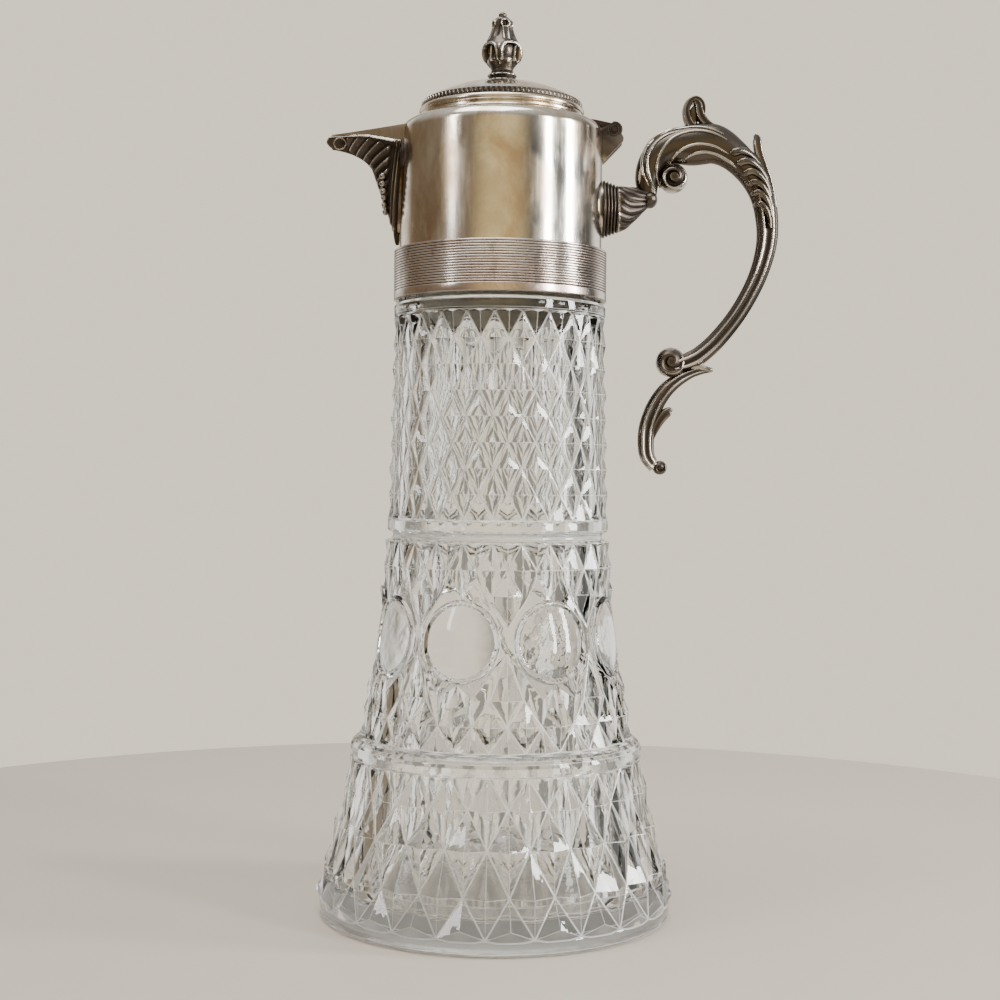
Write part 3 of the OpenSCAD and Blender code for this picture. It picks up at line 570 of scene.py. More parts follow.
class JugSettings(bpy.types.PropertyGroup):
    foot_r: length("Foot radius", "Radius of the glass foot's rim", 0.0592, 0.055, 0.062)
    flare_r: length("Flare", "Radius that the lowest field would reach at the foot", 0.0614, 0.06, 0.0614)
    low_relief: length("Low relief", "Depth of the lowest diamonds", 0.003, 0.001, 0.004)
    mid_relief: length("Middle relief", "Depth of the middle diamonds", 0.002, 0.001, 0.0026)
    top_relief: length("Top relief", "Depth of the top diamonds", 0.0019, 0.001, 0.0022)
    glass_edge: length("Glass edge", "Rounding of the pressed edges", 0.00034, 0.00005, 0.0005)
    drum_r: length("Drum radius", "Outer radius of the silver drum", 0.0342, 0.0338, 0.0342)
    band_r: length("Band radius", "Outer radius of the reeded band", 0.036, 0.0352, 0.036)
    band_rim: length("Band rim", "Height of the plain rim under the reeds", 0.0029, 0.0015, 0.005)
    reeds: IntProperty(name="Reeds", description="Reeds on the band", default=16, min=6, max=24)
    reed_depth: length("Reed depth", "Stand of the reeds over the band", 0.0004, 0.0002, 0.0006)
    lid_r: length("Lid radius", "Outer radius of the lid's flange", 0.028, 0.0274, 0.028)
    dome_rise: length("Dome rise", "Rise of the dome over the milled ring", 0.0076, 0.005, 0.0076)
    teeth: IntProperty(name="Teeth", description="Teeth of the milled ring", default=100, min=60, max=160)
    finial_h: length("Finial height", "Height of the finial over the dome", 0.0242, 0.018, 0.0242)
    finial_r: length("Finial radius", "Greatest radius of the finial", 0.007, 0.005, 0.007)
    spout_reach: length("Spout reach", "Reach of the beak beyond the drum", 0.0242, 0.018, 0.0242)
    spout_half_w: length("Spout half width", "Half width of the beak at the drum", 0.0125, 0.009, 0.0125)
    pearls: IntProperty(name="Pearls", description="Pearls down the keel", default=6, min=3, max=10)
    handle_half_w: length("Handle half width", "Half width of the scroll's swell", 0.0055, 0.0045, 0.0055)
    silver: colour("Silver", "Bare plate", (0.80, 0.77, 0.71))
    tarnish: colour("Tarnish", "Warm film on the plate", (0.40, 0.285, 0.15))
    stain: colour("Stain", "Rosy bloom on the plate", (0.50, 0.36, 0.30))
    dark: colour("Patina", "Hollows of the castings", (0.035, 0.028, 0.024))
    bronze: colour("Casting", "Flats of the castings", (0.09, 0.075, 0.061))
    umber: colour("Umber", "Brown clouds on the castings", (0.2, 0.12, 0.08))
    worn: colour("Worn ridges", "Ridges of the castings", (0.50, 0.465, 0.415))
    glass: colour("Glass", "Tint of the glass", (0.985, 0.99, 0.985))
    # Edge highlight: a whitish colour mixed into the glass's pressed edges as a painted highlight along the
    # grooves.
    edge_highlight: colour("Frost", "Faint frost on the pressed edges", (0.86, 0.87, 0.85))
    brass: colour("Brass", "Screws, washers and nut", (0.62, 0.46, 0.22))
    pin: colour("Pin", "Hinge pin", (0.05, 0.043, 0.037))
    cement: colour("Cement", "Cement that beds the drum", (0.62, 0.58, 0.5))


def in_mm(value):
    return value / MM


# ---- Finishes ----

def rgba(colour):
    return (colour[0], colour[1], colour[2], 1.0)


def plate(name, s, film=0.5, rosy=0.35, rough=0.1):
    """Silver plate with a warm film of tarnish, rosy blooms and fine wiping marks."""
    paint = Paint(name)
    here = paint.here()
    # The film comes in broad clouds, smaller patches and specks; cloths have wiped round the axis.
    cloud = paint.noise(here, 42.0, 6.0, 0.62, 0.6)
    patch = paint.noise(here.scaled((1.0, 1.0, 0.6)), 34.0, 5.0, 0.62, 1.3)
    speck = paint.noise(here, 420.0, 3.0, 0.7)
    wiped = paint.noise(here.scaled((1.0, 1.0, 0.12)), 900.0, 2.0, 0.5)
    share = (cloud.fit(0.34, 0.62) * film + patch.fit(0.42, 0.62) * (film * 0.6)
             + speck.fit(0.55, 0.8) * 0.15)
    tint = paint.blend(share, rgba(s.silver), rgba(s.tarnish))
    tint = paint.blend(patch.fit(0.52, 0.66) * rosy, tint, rgba(s.stain))
    dull = cloud.fit(0.3, 0.75, rough, rough + 0.16) + wiped.fit(0.4, 0.8) * 0.05
    bump = paint.bump(wiped * 0.3 + cloud, 0.00006, 0.35)
    return paint.surface(Base_Color=tint, Metallic=1.0, Roughness=dull, Normal=bump)


def reeded(name, s, foot_r):
    """The plate of the band: tarnish sits between the reeds."""
    paint = Paint(name)
    here = paint.here()
    out, _ = here.round_axis()
    cloud = paint.noise(here, 60.0, 6.0, 0.65, 0.8)
    speck = paint.noise(here, 700.0, 3.0, 0.7)
    film = paint.noise(here.scaled((1.0, 1.0, 0.5)), 110.0, 4.0, 0.6, 0.4)
    between = out.fit(foot_r + 0.0001, foot_r + 0.0004, 1.0, 0.0)
    tint = paint.blend(cloud.fit(0.3, 0.62) * 0.55 + 0.25, rgba(s.silver), rgba(s.stain))
    tint = paint.blend(between * 0.85, tint, rgba(s.dark))
    tint = paint.blend(speck.fit(0.6, 0.8) * 0.25, tint, rgba(s.tarnish))
    tint = paint.blend(film.fit(0.5, 0.64) * 0.4, tint, rgba(s.bronze))
    return paint.surface(Base_Color=tint, Metallic=1.0, Roughness=cloud.fit(0.3, 0.75, 0.16, 0.32))


def cast(name, s, lift, shine):
    """Cast and oxidised metal: dark in the hollows, rubbed bright on the ridges.

    The lift makes all of it more worn; the shine is the roughness of what is rubbed."""
    paint = Paint(name)
    here = paint.here()
    grain = paint.noise(here, 260.0, 5.0, 0.65)
    cloud = paint.noise(here, 50.0, 4.0, 0.6, 0.5)
    stand = paint.attribute("wear") + grain * 0.2 - 0.1 + cloud * 0.3 - 0.15 + lift
    tint = paint.blend(stand.fit(0.1, 0.5), rgba(s.dark), rgba(s.bronze))
    tint = paint.blend(stand.fit(0.6, 1.0), tint, rgba(s.worn))
    tint = paint.blend(cloud.fit(0.55, 0.75) * 0.3, tint, rgba(s.umber))
    dull = stand.fit(0.3, 0.75, shine + 0.25, shine)
    bump = paint.bump(grain, 0.00008, 0.4)
    return paint.surface(Base_Color=tint, Metallic=stand.fit(0.6, 1.0, 1.0, 0.9), Roughness=dull, Normal=bump)


def clear_glass(s):
    """Clear glass with a soft ripple; a whitish shader mixed into its pressed edges is a painted highlight
    that makes them read as light lines, and its foot is ground.
    """
    paint = Paint("pressed_glass")
    here = paint.here()
    ripple = paint.noise(here, 70.0, 3.0, 0.5) + paint.noise(here, 260.0, 2.0, 0.5) * 0.22
    out, z = here.round_axis()
    ground = out.fit(s.foot_r - 0.0105, s.foot_r - 0.007, 0.5, 0.0) * z.fit(0.0024, 0.003, 1.0, 0.0)
    edge = paint.attribute("edge")
    clear = paint.node("ShaderNodeBsdfPrincipled", {}, {
        "Base Color": rgba(s.glass), "Roughness": ground + edge * 0.12, "IOR": 1.5,
        "Transmission Weight": 1.0, "Normal": paint.bump(ripple, 0.00035, 0.6)}, "BSDF")
    # A whitish opaque shader on the rounded edges: a painted highlight that lightens the grooves.
    edge_highlight = paint.node("ShaderNodeBsdfPrincipled", {}, {
        "Base Color": rgba(s.edge_highlight), "Roughness": 0.4, "IOR": 1.5}, "BSDF")
    surface = paint.node("ShaderNodeMixShader", {}, {"Fac": edge * 0.3, "Shader": clear, "Shader_001": edge_highlight})
    paint.node("ShaderNodeOutputMaterial", {}, {"Surface": surface})
    return paint.material


def dull(name, colour, metallic, rough):
    """A plain finish with a little mottling."""
    paint = Paint(name)
    cloud = paint.noise(paint.here(), 180.0, 4.0, 0.6)
    tint = paint.blend(cloud.fit(0.3, 0.7) * 0.4, rgba(colour), rgba([0.6 * c for c in colour]))
    return paint.surface(Base_Color=tint, Metallic=metallic,
                         Roughness=cloud.fit(0.3, 0.7, rough, rough + 0.15))


# ---- Pressed glass ----

def low_env(z, flare):
    """Radius of the lowest field's points."""
    return LEDGE_R + (flare - LEDGE_R) * max(0.0, (Z_LEDGE - z) / (Z_LEDGE - Z_LOW)) ** 1.1


def mid_env(z):
    return MID_TOP_R + (MID_FOOT_R - MID_TOP_R) * max(0.0, (Z_GROOVE - z) / (Z_GROOVE - Z_MID)) ** 1.3


def top_env(z):
    return lerp(WAIST_R, RING_R, (z - Z_TOP) / (Z_RING - Z_TOP))


class Pressing:
    """Rings of the glass body, from the foot up, and the faces between them."""

    def __init__(self):
        self.points, self.faces, self.last = [], [], None

    def spread(self, spots):
        """Adds points at (radius, height) all round and gives their numbers."""
        first = len(self.points)
        self.points += [polar(PHASE + 360.0 * i / len(spots), r, z) for i, (r, z) in enumerate(spots)]
        return list(range(first, len(self.points)))

    def ring(self, spots):
        """Adds a ring of spots and joins it to the last one, which may be finer or coarser."""
        low, ring = self.last, self.spread(spots)
        self.last = ring
        if low is None:
            return
        few, many = (low, ring) if len(low) < len(ring) else (ring, low)
        each = len(many) // len(few)
        for i in range(len(few)):
            j = (i + 1) % len(few)
            if each == 1:
                self.faces.append((low[i], low[j], ring[j], ring[i]))
                continue
            for step in range(each):
                self.faces.append((few[i if step < each / 2 else j], many[(each * i + step) % len(many)],
                                   many[(each * i + step + 1) % len(many)]))
            self.faces.append((few[i], few[j], many[each * i + (each + 1) // 2]))

    def plain(self, *spots):
        for spot in spots:
            self.ring([spot] * AROUND)

    def middle(self, z):
        """Closes the last ring to a point on the axis."""
        centre, ring = len(self.points), self.last
        self.points.append((0.0, 0.0, z))
        self.faces += [(centre, a, b) for a, b in zip(ring, ring[1:] + ring[:1])]

    def field(self, rows):
        """Diamonds between rows of spots; each cell folds along its groove."""
        self.ring(rows[0])
        for j, row in enumerate(rows[1:], 1):
            low, high = self.last, self.spread(row)
            for i in range(COLUMNS):
                k = (i + 1) % COLUMNS
                if (i + j) % 2:
                    self.faces += [(low[i], low[k], high[k]), (low[i], high[k], high[i])]
                else:
                    self.faces += [(low[i], low[k], high[i]), (low[k], high[k], high[i])]
            self.last = high


def oval_sector(groove):
    """Points (angle from the oval, height, depth) and triangles of one eighth of the middle field."""
    spots, lines = {}, []
    side = 3 * STEP

    def spot(u, z, depth):
        key = (round(u, 3), round(z, 3))
        spots.setdefault(key, depth)
        return key

    def chain(*keys):
        lines.extend(zip(keys, keys[1:]))

    def diamond(apex, *corners):
        kept = [c for c in corners if abs(c[0]) < side + 0.01]
        apex = spot(*apex)
        for key in [spot(*c) for c in kept]:
            chain(apex, key)
        for c, d in zip(corners, corners[1:] + corners[:1]):
            if c in kept and d in kept:
                chain(spot(*c), spot(*d))

    head = [Z_GROOVE - MID_ROW * k for k in range(4)]
    foot = [Z_MID + MID_ROW * k for k in range(3)]
    oval_foot = (0.0, OVAL_Z - OVAL_UP, GROUND)
    for u in (-side, -STEP, STEP, side):
        for rows in (head, foot):
            diamond((u, rows[0], 0.1), (u - STEP, rows[0], groove), (u, rows[1], groove),
                    (u + STEP, rows[0], groove))
    for u in (-2 * STEP, 0.0, 2 * STEP):
        diamond((u, head[1], 0.0), (u, head[0], groove), (u + STEP, head[1], groove), (u, head[2], groove),
                (u - STEP, head[1], groove))
        top = oval_foot if u == 0 else (u, foot[2], groove)
        diamond((u, foot[1], 0.0), top, (u + STEP, foot[1], groove), (u, foot[0], groove),
                (u - STEP, foot[1], groove))
    for m in (-1, 1):
        # Beside the oval's foot the diamonds have no room and run up to it in slanting facets;
        # at the knot the grounds of two ovals meet.
        knot = (m * side, OVAL_Z - 3.4, GROUND)
        diamond((m * side, head[2], 0.0), (m * side, head[1], groove), (m * 2 * STEP, head[2], groove),
                (m * side, head[3], groove))
        diamond((m * side, foot[2], 0.0), knot, (m * 2 * STEP, foot[2], groove), (m * side, foot[1], groove))
        peak = spot(m * STEP, foot[2] + 0.4, 0.0)
        chain(spot(*oval_foot), peak, spot(m * STEP, foot[1], groove))
        chain(peak, spot(m * 11.2, foot[2] + 1.0, 0.9), spot(m * 2 * STEP, foot[2], groove))
        chain(spot(*knot), peak)
        chain(spot(*knot), spot(m * 11.2, foot[2] + 1.0, 0.9))
    # A steep step leads from the diamonds down to the smooth ground of the ovals.
    brink = list(zip(range(-3, 4), (3, 2, 1, 2, 1, 2, 3)))
    chain(*[spot(STEP * k, head[row], groove) for k, row in brink])
    chain(*[spot(STEP * k * (1.0 if k in (-3, 3) else 0.93), head[row] - (2.4 if k else 1.2), GROUND)
            for k, row in brink])
    corners = 40
    lens = [(LENS * k / 9, LENS_TOP + (LENS_EDGE - LENS_TOP) * (k / 9) ** 2) for k in range(8, 0, -1)]
    for share, depth in OVAL_RIM + lens:
        loop = [spot(OVAL_ACROSS * share * math.sin(a), OVAL_Z - OVAL_UP * share * math.cos(a), depth)
                for a in (math.tau * k / corners for k in range(corners))]
        chain(*loop, loop[0])
    spot(0.0, OVAL_Z, LENS_TOP)
    keys = list(spots)
    index = {key: i for i, key in enumerate(keys)}
    mm_per_degree = 0.73
    flat = [Vector((u * mm_per_degree, z)) for u, z in keys]
    edges = [(index[a], index[b]) for a, b in lines]
    found, _, tris, origin, _, _ = delaunay_2d_cdt(flat, edges, [], 0, 1e-5)
    if len(found) != len(keys):
        raise RuntimeError(f"the oval field has {len(found)} points for {len(keys)}")
    order = [keys[o[0]] for o in origin]
    return [(u, z, spots[(u, z)]) for u, z in order], [tuple(t) for t in tris]


def low_row(j, flare, relief, foot):
    """Spots of a row of the lowest field, which starts on the foot's rim and ends under the ledge."""
    z = lerp(Z_LOW, Z_LEDGE, LOW_ROWS[j])
    if j == 0:
        up = z + 3.12
        point, groove = (low_env(up, flare), up), (foot - 0.3, z)
    elif j == len(LOW_ROWS) - 1:
        point, groove = (LEDGE_R, z), (LEDGE_R - 1.4, z)
    else:
        point, groove = (low_env(z, flare), z), (low_env(z, flare) - relief, z)
    return [point if (i + j) % 2 else groove for i in range(COLUMNS)]


def mid_row(z, relief):
    return [(mid_env(z) - (0.1 if i % 2 else relief), z) for i in range(COLUMNS)]


def top_row(j, relief):
    """Spots of a row of the top field, whose first and last rows run out in the plain rings."""
    z = lerp(Z_TOP, Z_RING, j / TOP_ROWS)
    point, groove = (0.1, 1.2) if j in (0, TOP_ROWS) else (0.0, relief)
    return [(top_env(z) - (point if (i + j) % 2 else groove), z) for i in range(COLUMNS)]


def glass_skin(s):
    """The body: up its outside from under the foot, over the rim and down its inside to the floor."""
    flare, low, mid, top = (in_mm(v) for v in (s.flare_r, s.low_relief, s.mid_relief, s.top_relief))
    foot = in_mm(s.foot_r)
    glass = Pressing()
    glass.plain((foot - 12, PUNT))
    glass.middle(PUNT)
    glass.plain(*stepped(foot, 0.0, (-7.3, 0.3), (-6.8, 0), (-1.6, 0), (-0.9, 0.1), (-0.3, 0.45),
                         (0, 1.1), (0, 2.5), (0, 3.9), (-0.15, 4.6)))
    glass.field([low_row(j, flare, low, foot) for j in range(len(LOW_ROWS))])
    glass.plain(*stepped(LEDGE_R, Z_LEDGE, (-0.1, 0.5), (0, 1.8), (0, 3), (-0.3, 4.2), (-1, 5.3), (-2, 6.1),
                         (-2.9, 6.5)))

    # The middle field: eight sectors between two rows, whose shared edges are welded later
    spots, tris = oval_sector(mid)
    for sector in range(SECTORS):
        base, turn = len(glass.points), PHASE - 2 * STEP + 360.0 / SECTORS * sector
        glass.points += [polar(turn + u, mid_env(z) - depth, z) for u, z, depth in spots]
        glass.faces += [tuple(base + i for i in t) for t in tris]
    glass.ring(mid_row(Z_MID, mid))
    glass.last = None
    glass.ring(mid_row(Z_GROOVE, mid))
    glass.plain(*stepped(35.5, Z_GROOVE, (1.4, 0.5), (0.5, 1.0), (0, 1.6), (0, 2.3), (0.7, 3.0)))
    glass.plain(*stepped(WAIST_R, Z_WAIST, (-0.2, 0), (0, 0.6), (0, 2.2), (-0.1, 3.4)))
    glass.field([top_row(j, top) for j in range(TOP_ROWS + 1)])
    glass.plain(*stepped(SHOULDER_R, Z_RING, (-0.3, 0.7), (-0.05, 1.4), (0, 2.2), (0, 4.2), (-0.3, 4.9),
                         (-1, 5.2)))

    # The neck, its rim and the wall inside
    glass.plain(*stepped(NECK_R, Z_NECK, (0.5, 0), (0.1, 0.3), (0, 1)))
    glass.plain(*stepped(NECK_R, Z_RIM, (0, -2.1), (-0.3, -1.1), (-1, -0.3), (-2, 0)))
    glass.plain(*stepped(BORE_R, Z_RIM, (1, -0.3), (0.3, -1), (0, -1.9)))
    glass.plain(*stepped(BORE_R, Z_NECK, (0, 2.2), (0.2, 0.4), (0.6, -1.8), (1.4, -5.7), (2.2, -11.2)))
    glass.plain((32.2, Z_TOP), (32.5, Z_WAIST), (mid_env(Z_GROOVE) - MID_WALL, Z_GROOVE))
    for z in np.linspace(Z_GROOVE, Z_MID, 11)[1:]:
        glass.plain((mid_env(z) - MID_WALL, z))
    wall_foot, corner = 14.0, 4.5
    for z in np.linspace(Z_LEDGE, wall_foot, 6):
        glass.plain((low_env(z, flare) - LOW_WALL, z))
    edge = low_env(wall_foot, flare) - LOW_WALL
    glass.plain(*[(edge - corner + x, FLOOR + corner - z) for x, z in
                  (polar(a, corner, 0)[:2] for a in (20, 40, 60, 80, 90))], (edge / 2, FLOOR))
    glass.middle(FLOOR)
    return glass.points, glass.faces


def on_lens(place):
    """Whether a point lies in an oval."""
    x, y, z = place / MM
    half = 180.0 / SECTORS
    u = (math.degrees(math.atan2(y, x)) - PHASE + 2 * STEP + half) % (2 * half) - half
    return math.hypot(u / OVAL_ACROSS, (z - OVAL_Z) / OVAL_UP) < 1.01


def round_edges(obj, width):
    """Rounds the pressed edges, but not the lenses, the neck and the plain rings' gentle steps."""
    mesh = obj.data
    work = bmesh.new()
    work.from_mesh(mesh)
    weight = work.edges.layers.float.new("bevel_weight_edge")
    for edge in work.edges:
        if len(edge.link_faces) != 2 or edge.calc_face_angle() < math.radians(16):
            continue
        neck = all(math.hypot(v.co.x, v.co.y) / MM < NECK_R + 0.6 for v in edge.verts)
        if not neck and not any(on_lens(v.co) for v in edge.verts):
            edge[weight] = 0.35 if edge.is_convex else 1.0
    work.to_mesh(mesh)
    work.free()
    modifier = obj.modifiers.new("edges", "BEVEL")
    modifier.limit_method = "WEIGHT"
    modifier.width = width
    modifier.segments = 2
    modifier.use_clamp_overlap = True
    # The rounded faces get a material number of their own, which becomes the attribute edge.
    modifier.material = 1
    for _ in range(2):
        mesh.materials.append(None)
    settle(obj)
    mesh = obj.data
    layer = mesh.attributes.new("edge", "FLOAT", "FACE")
    layer.data.foreach_set("value", [float(face.material_index) for face in mesh.polygons])
    mesh.polygons.foreach_set("material_index", [0] * len(mesh.polygons))
    polish(obj, 14)


class JUG_OT_glass(bpy.types.Operator):
    """Presses the glass body: three fields, eight ovals, foot, neck and the wall inside"""

    bl_idname = "jug.glass"
    bl_label = "Glass body"

    def execute(self, context):
        s = context.scene.claret_jug
        obj = piece("glass_look", glass_skin(s), 14, weld=True)
        uses = Counter(key for face in obj.data.polygons for key in face.edge_keys)
        if set(uses.values()) != {2}:
            raise RuntimeError("the glass has edges without two faces")
        round_edges(obj, s.glass_edge)
        fit(obj, "jug", "glass", clear_glass(s), "glass_body")
        return {"FINISHED"}


# ---- Mount ----

def shoulder(drum, out=0.0, first=0, last=74):
    """The rounding over the drum's wall, or a line that far outside it."""
    return arc(drum - FILLET, Z_WALL_TOP, FILLET + out, first, last, 12)


def drum_look(s):
    """The drum with its way into the spout and the hole for the handle's screw."""
    drum = in_mm(s.drum_r)
    section = ([(drum - DRUM_T, Z_BAND + 1.2), (drum, Z_BAND + 1.2)] + shoulder(drum)
               + [(SEAT_R + 0.15, Z_SEAT - 0.12), (SEAT_R, Z_SEAT), (MOUTH_R, Z_SEAT), (MOUTH_R, Z_SEAT - 1)]
               + shoulder(drum, -DRUM_T, 74, 0))
    body = piece("drum_look", turned(section, FINE))
    wide, high, low = in_mm(s.spout_half_w) - 3.5, Z_WALL_TOP - 0.8, Z_BAND_TOP + SPOUT_FOOT + 7
    half = [(1.6, low), (wide * 0.8, lerp(low, high, 0.6)), (wide, high)]
    slot = half + [(-y, z) for y, z in reversed(half)]
    cut(body, moved(drawn_out(slot, drum / 2), quarter_turn("Z", -90) @ Matrix.Translation((0, -drum, 0))))
    cut(body, moved(rod(2.1, 0, 60), at(0, SOCKET_Z) @ quarter_turn("Y")))
    polish(body)
    fit(body, "jug", "silver_sheet", plate("drum_plate", s), "mount_drum")


def band_look(s):
    """The band: a plain rim, and the reeds over it."""
    drum, band = in_mm(s.drum_r) + SOLDER, in_mm(s.band_r)
    foot, rim, top = band - in_mm(s.reed_depth), Z_BAND + in_mm(s.band_rim), Z_BAND_TOP - SOLDER
    body = piece("band_look", turned(soften([(drum, Z_BAND), (band, Z_BAND), (band, rim - 0.25), (foot, rim),
                                             (foot, top), (drum, top)], 0.3), FINE))
    finish = reeded("band_plate", s, foot * MM)
    pitch = (Z_BAND_TOP - rim) / s.reeds
    grow(body, reed_tree(), Reeds=s.reeds, Pitch=pitch * MM, Foot=(rim + pitch / 2) * MM, Radius=foot * MM,
         Depth=s.reed_depth, Finish=finish)
    polish(body, 50)
    fit(body, "jug", "silver_band", finish, "reeded_band")


def reed_tree():
    """Half-round reeds, one above the other, round the band."""
    tree = Growth("Reeds")
    count, pitch = tree.ask("Reeds", "Int", 16), tree.ask("Pitch")
    foot, radius, deep = tree.ask("Foot"), tree.ask("Radius"), tree.ask("Depth")
    finish = tree.ask("Finish", "Material")
    path = tree.node("GeometryNodeCurvePrimitiveCircle", {}, {"Resolution": FINE, "Radius": radius})
    outline = tree.node("GeometryNodeCurvePrimitiveCircle", {}, {"Resolution": 12, "Radius": 1.0})
    size = tree.node("ShaderNodeCombineXYZ", {}, {"X": deep, "Y": pitch * 0.46, "Z": 1.0})
    outline = tree.node("GeometryNodeTransform", {}, {"Geometry": outline, "Scale": size})
    reed = tree.node("GeometryNodeCurveToMesh", {}, {"Curve": path, "Profile Curve": outline})
    start = tree.node("ShaderNodeCombineXYZ", {}, {"Z": foot})
    step = tree.node("ShaderNodeCombineXYZ", {}, {"Z": pitch})
    places = tree.node("GeometryNodeMeshLine", {}, {"Count": count, "Start Location": start, "Offset": step})
    many = tree.node("GeometryNodeInstanceOnPoints", {}, {"Points": places, "Instance": reed})
    return tree.close(tree.beside_given(many), finish)


class JUG_OT_mount(bpy.types.Operator):
    """Spins the silver drum with its way into the spout, and the reeded band"""

    bl_idname = "jug.mount"
    bl_label = "Drum and band"

    def execute(self, context):
        drum_look(context.scene.claret_jug)
        band_look(context.scene.claret_jug)
        return {"FINISHED"}


# ---- Lid ----

class Dome:
    """Sizes of the lid: its flange, the roll of its edge, the milled ring and the dome inside that."""

    def __init__(self, s):
        self.lid, self.rise = in_mm(s.lid_r), in_mm(s.dome_rise)
        self.roll_z, self.ring = Z_LID + 3.685, self.lid - 1.6
        edge = self.ring + 0.8
        self.curve = (edge ** 2 + self.rise ** 2) / (2 * self.rise)
        self.ring_z = self.height(self.ring - 0.6)

    def height(self, r, under=0.0):
        """Height of the dome at a radius, or of a face that far under it."""
        return self.roll_z + 1.785 + self.rise - self.curve + math.sqrt((self.curve - under) ** 2 - r * r)


def lid_look(s, d):
    """The lid's sheet: flange, rolled edge, seat of the milled ring and dome, with the finial's hole."""
    inner = 26.45
    stops = [lerp(d.ring - 0.6, 0, (i / 20) ** 1.2) for i in range(21)]
    section = ([(inner, Z_LID), (d.lid - 0.25, Z_LID), (d.lid, Z_LID + 0.3), (d.lid, Z_LID + 0.85),
                (d.lid - 0.3, Z_LID + 1.15), (d.lid - 1.0, Z_LID + 1.35)]
               + arc(d.lid - 1.3, d.roll_z - 1.05, 1.22, -62, 74, 14)
               + [(d.ring + 0.25, d.roll_z + 0.15), (d.ring + 0.1, d.ring_z - 0.5), (d.ring - 0.6, d.ring_z)]
               + [(r, d.height(r)) for r in stops[1:]]
               + [(r * 0.97, d.height(r * 0.97, 0.9)) for r in reversed(stops)]
               + [(d.lid - 3.0, d.roll_z + 0.2), (inner, Z_LID + 1.0)])
    body = piece("lid_look", turned(section, FINE))
    cut(body, rod(1.4, 260, 300))
    polish(body)
    fit(body, "lid", "silver_sheet", plate("lid_plate", s, 0.6, 0.45, 0.14), "lid_shell")


def bezel_look(s):
    """The ring under the flange that drops into the mouth."""
    inner, outer = 25.6, 26.4
    section = [(inner, Z_LID - 5), (outer - 0.3, Z_LID - 5), (outer, Z_LID - 4.4), (outer, Z_LID + 0.9),
               (inner, Z_LID + 0.9)]
    body = piece("bezel_look", turned(soften(section, 0.15), AROUND))
    fit(body, "lid", "silver_sheet", plate("bezel_plate", s, 0.6), "lid_bezel")


def milled_look(s, d):
    """The wire between roll and dome, with its teeth."""
    wire = (stepped(d.ring, d.roll_z, (0.3, 0.17), (0.65, 0.2))
            + stepped(d.ring, d.ring_z, (0.5, -0.6), (0.16, -0.5)))
    body = piece("milled_look", turned(soften(wire, 0.1), AROUND))
    finish = cast("milled_plate", s, 0.05, 0.26)
    grow(body, milled_tree(), Teeth=s.teeth, Radius=(d.ring + 0.55) * MM, Height=(d.roll_z + 1.05) * MM,
         Finish=finish)
    polish(body, 40)
    wear(body, 4)
    fit(body, "lid", "silver_band", finish, "lid_milled_ring")


def milled_tree():
    """Leaning teeth side by side round a ring."""
    tree = Growth("Milled ring")
    count, radius, height = tree.ask("Teeth", "Int", 100), tree.ask("Radius"), tree.ask("Height")
    finish = tree.ask("Finish", "Material")
    ring = tree.node("GeometryNodeMeshCircle", {}, {"Vertices": count, "Radius": radius})
    lift = tree.node("ShaderNodeCombineXYZ", {}, {"Z": height})
    ring = tree.node("GeometryNodeTransform", {}, {"Geometry": ring, "Translation": lift})
    tooth = tree.node("GeometryNodeMeshUVSphere", {}, {"Segments": 8, "Rings": 6, "Radius": 1.0})
    tooth = tree.node("GeometryNodeTransform", {}, {"Geometry": tooth, "Scale": (0.00034, 0.0005, 0.00095)})
    tooth = tree.node("GeometryNodeTransform", {}, {"Geometry": tooth, "Rotation": (0.35, -0.08, 0.0)})
    angle = tree.node("GeometryNodeInputIndex") * math.tau / count
    turn = tree.node("ShaderNodeCombineXYZ", {}, {"Z": angle})
    many = tree.node("GeometryNodeInstanceOnPoints", {},
                     {"Points": ring, "Instance": tooth, "Rotation": turn})
    return tree.close(tree.beside_given(many), finish)


class JUG_OT_lid(bpy.types.Operator):
    """Spins the lid with its rolled edge, the bezel and the milled ring"""

    bl_idname = "jug.lid"
    bl_label = "Lid"

    def execute(self, context):
        s = context.scene.claret_jug
        dome = Dome(s)
        lid_look(s, dome)
        bezel_look(s)
        milled_look(s, dome)
        return {"FINISHED"}


# ---- Repeated and joined pieces ----

def repeat_tree():
    """A shape on every point, turned and sized by the point's own values."""
    tree = Growth("Repeat on points")
    shape, finish = tree.ask("Shape", "Object"), tree.ask("Finish", "Material")
    shape = tree.node("GeometryNodeObjectInfo", {"transform_space": "ORIGINAL"}, {"Object": shape},
                      "Geometry")
    many = tree.node("GeometryNodeInstanceOnPoints", {}, {
        "Points": tree.given(), "Instance": shape, "Rotation": tree.named("turn", "FLOAT_VECTOR"),
        "Scale": tree.named("size", "FLOAT_VECTOR")})
    return tree.close(many, finish)


def repeated(name, shape, places, finish):
    """One object of the shape on all places (point, turn in radians, size), through the repeat tree."""
    mesh = bpy.data.meshes.new(name)
    mesh.from_pydata([tuple(v * MM for v in p) for p, _, _ in places], [], [])
    for key, values in (("turn", [t for _, t, _ in places]), ("size", [(k, k, k) for _, _, k in places])):
        layer = mesh.attributes.new(key, "FLOAT_VECTOR", "POINT")
        layer.data.foreach_set("vector", [v for row in values for v in row])
    obj = bpy.data.objects.new(name, mesh)
    bpy.context.scene.collection.objects.link(obj)
    grow(obj, repeat_tree(), Shape=shape, Finish=finish)
    drop(shape)
    return obj


def together(name, *objects):
    """One object of all the pieces."""
    work = bmesh.new()
    for obj in objects:
        work.from_mesh(obj.data)
        drop(obj)
    mesh = bpy.data.meshes.new(name)
    work.to_mesh(mesh)
    work.free()
    obj = bpy.data.objects.new(name, mesh)
    bpy.context.scene.collection.objects.link(obj)
    polish(obj, 50)
    return obj


# ---- Finial ----

FINIAL_R = 7.0                  # greatest radius of the finial, over its relief
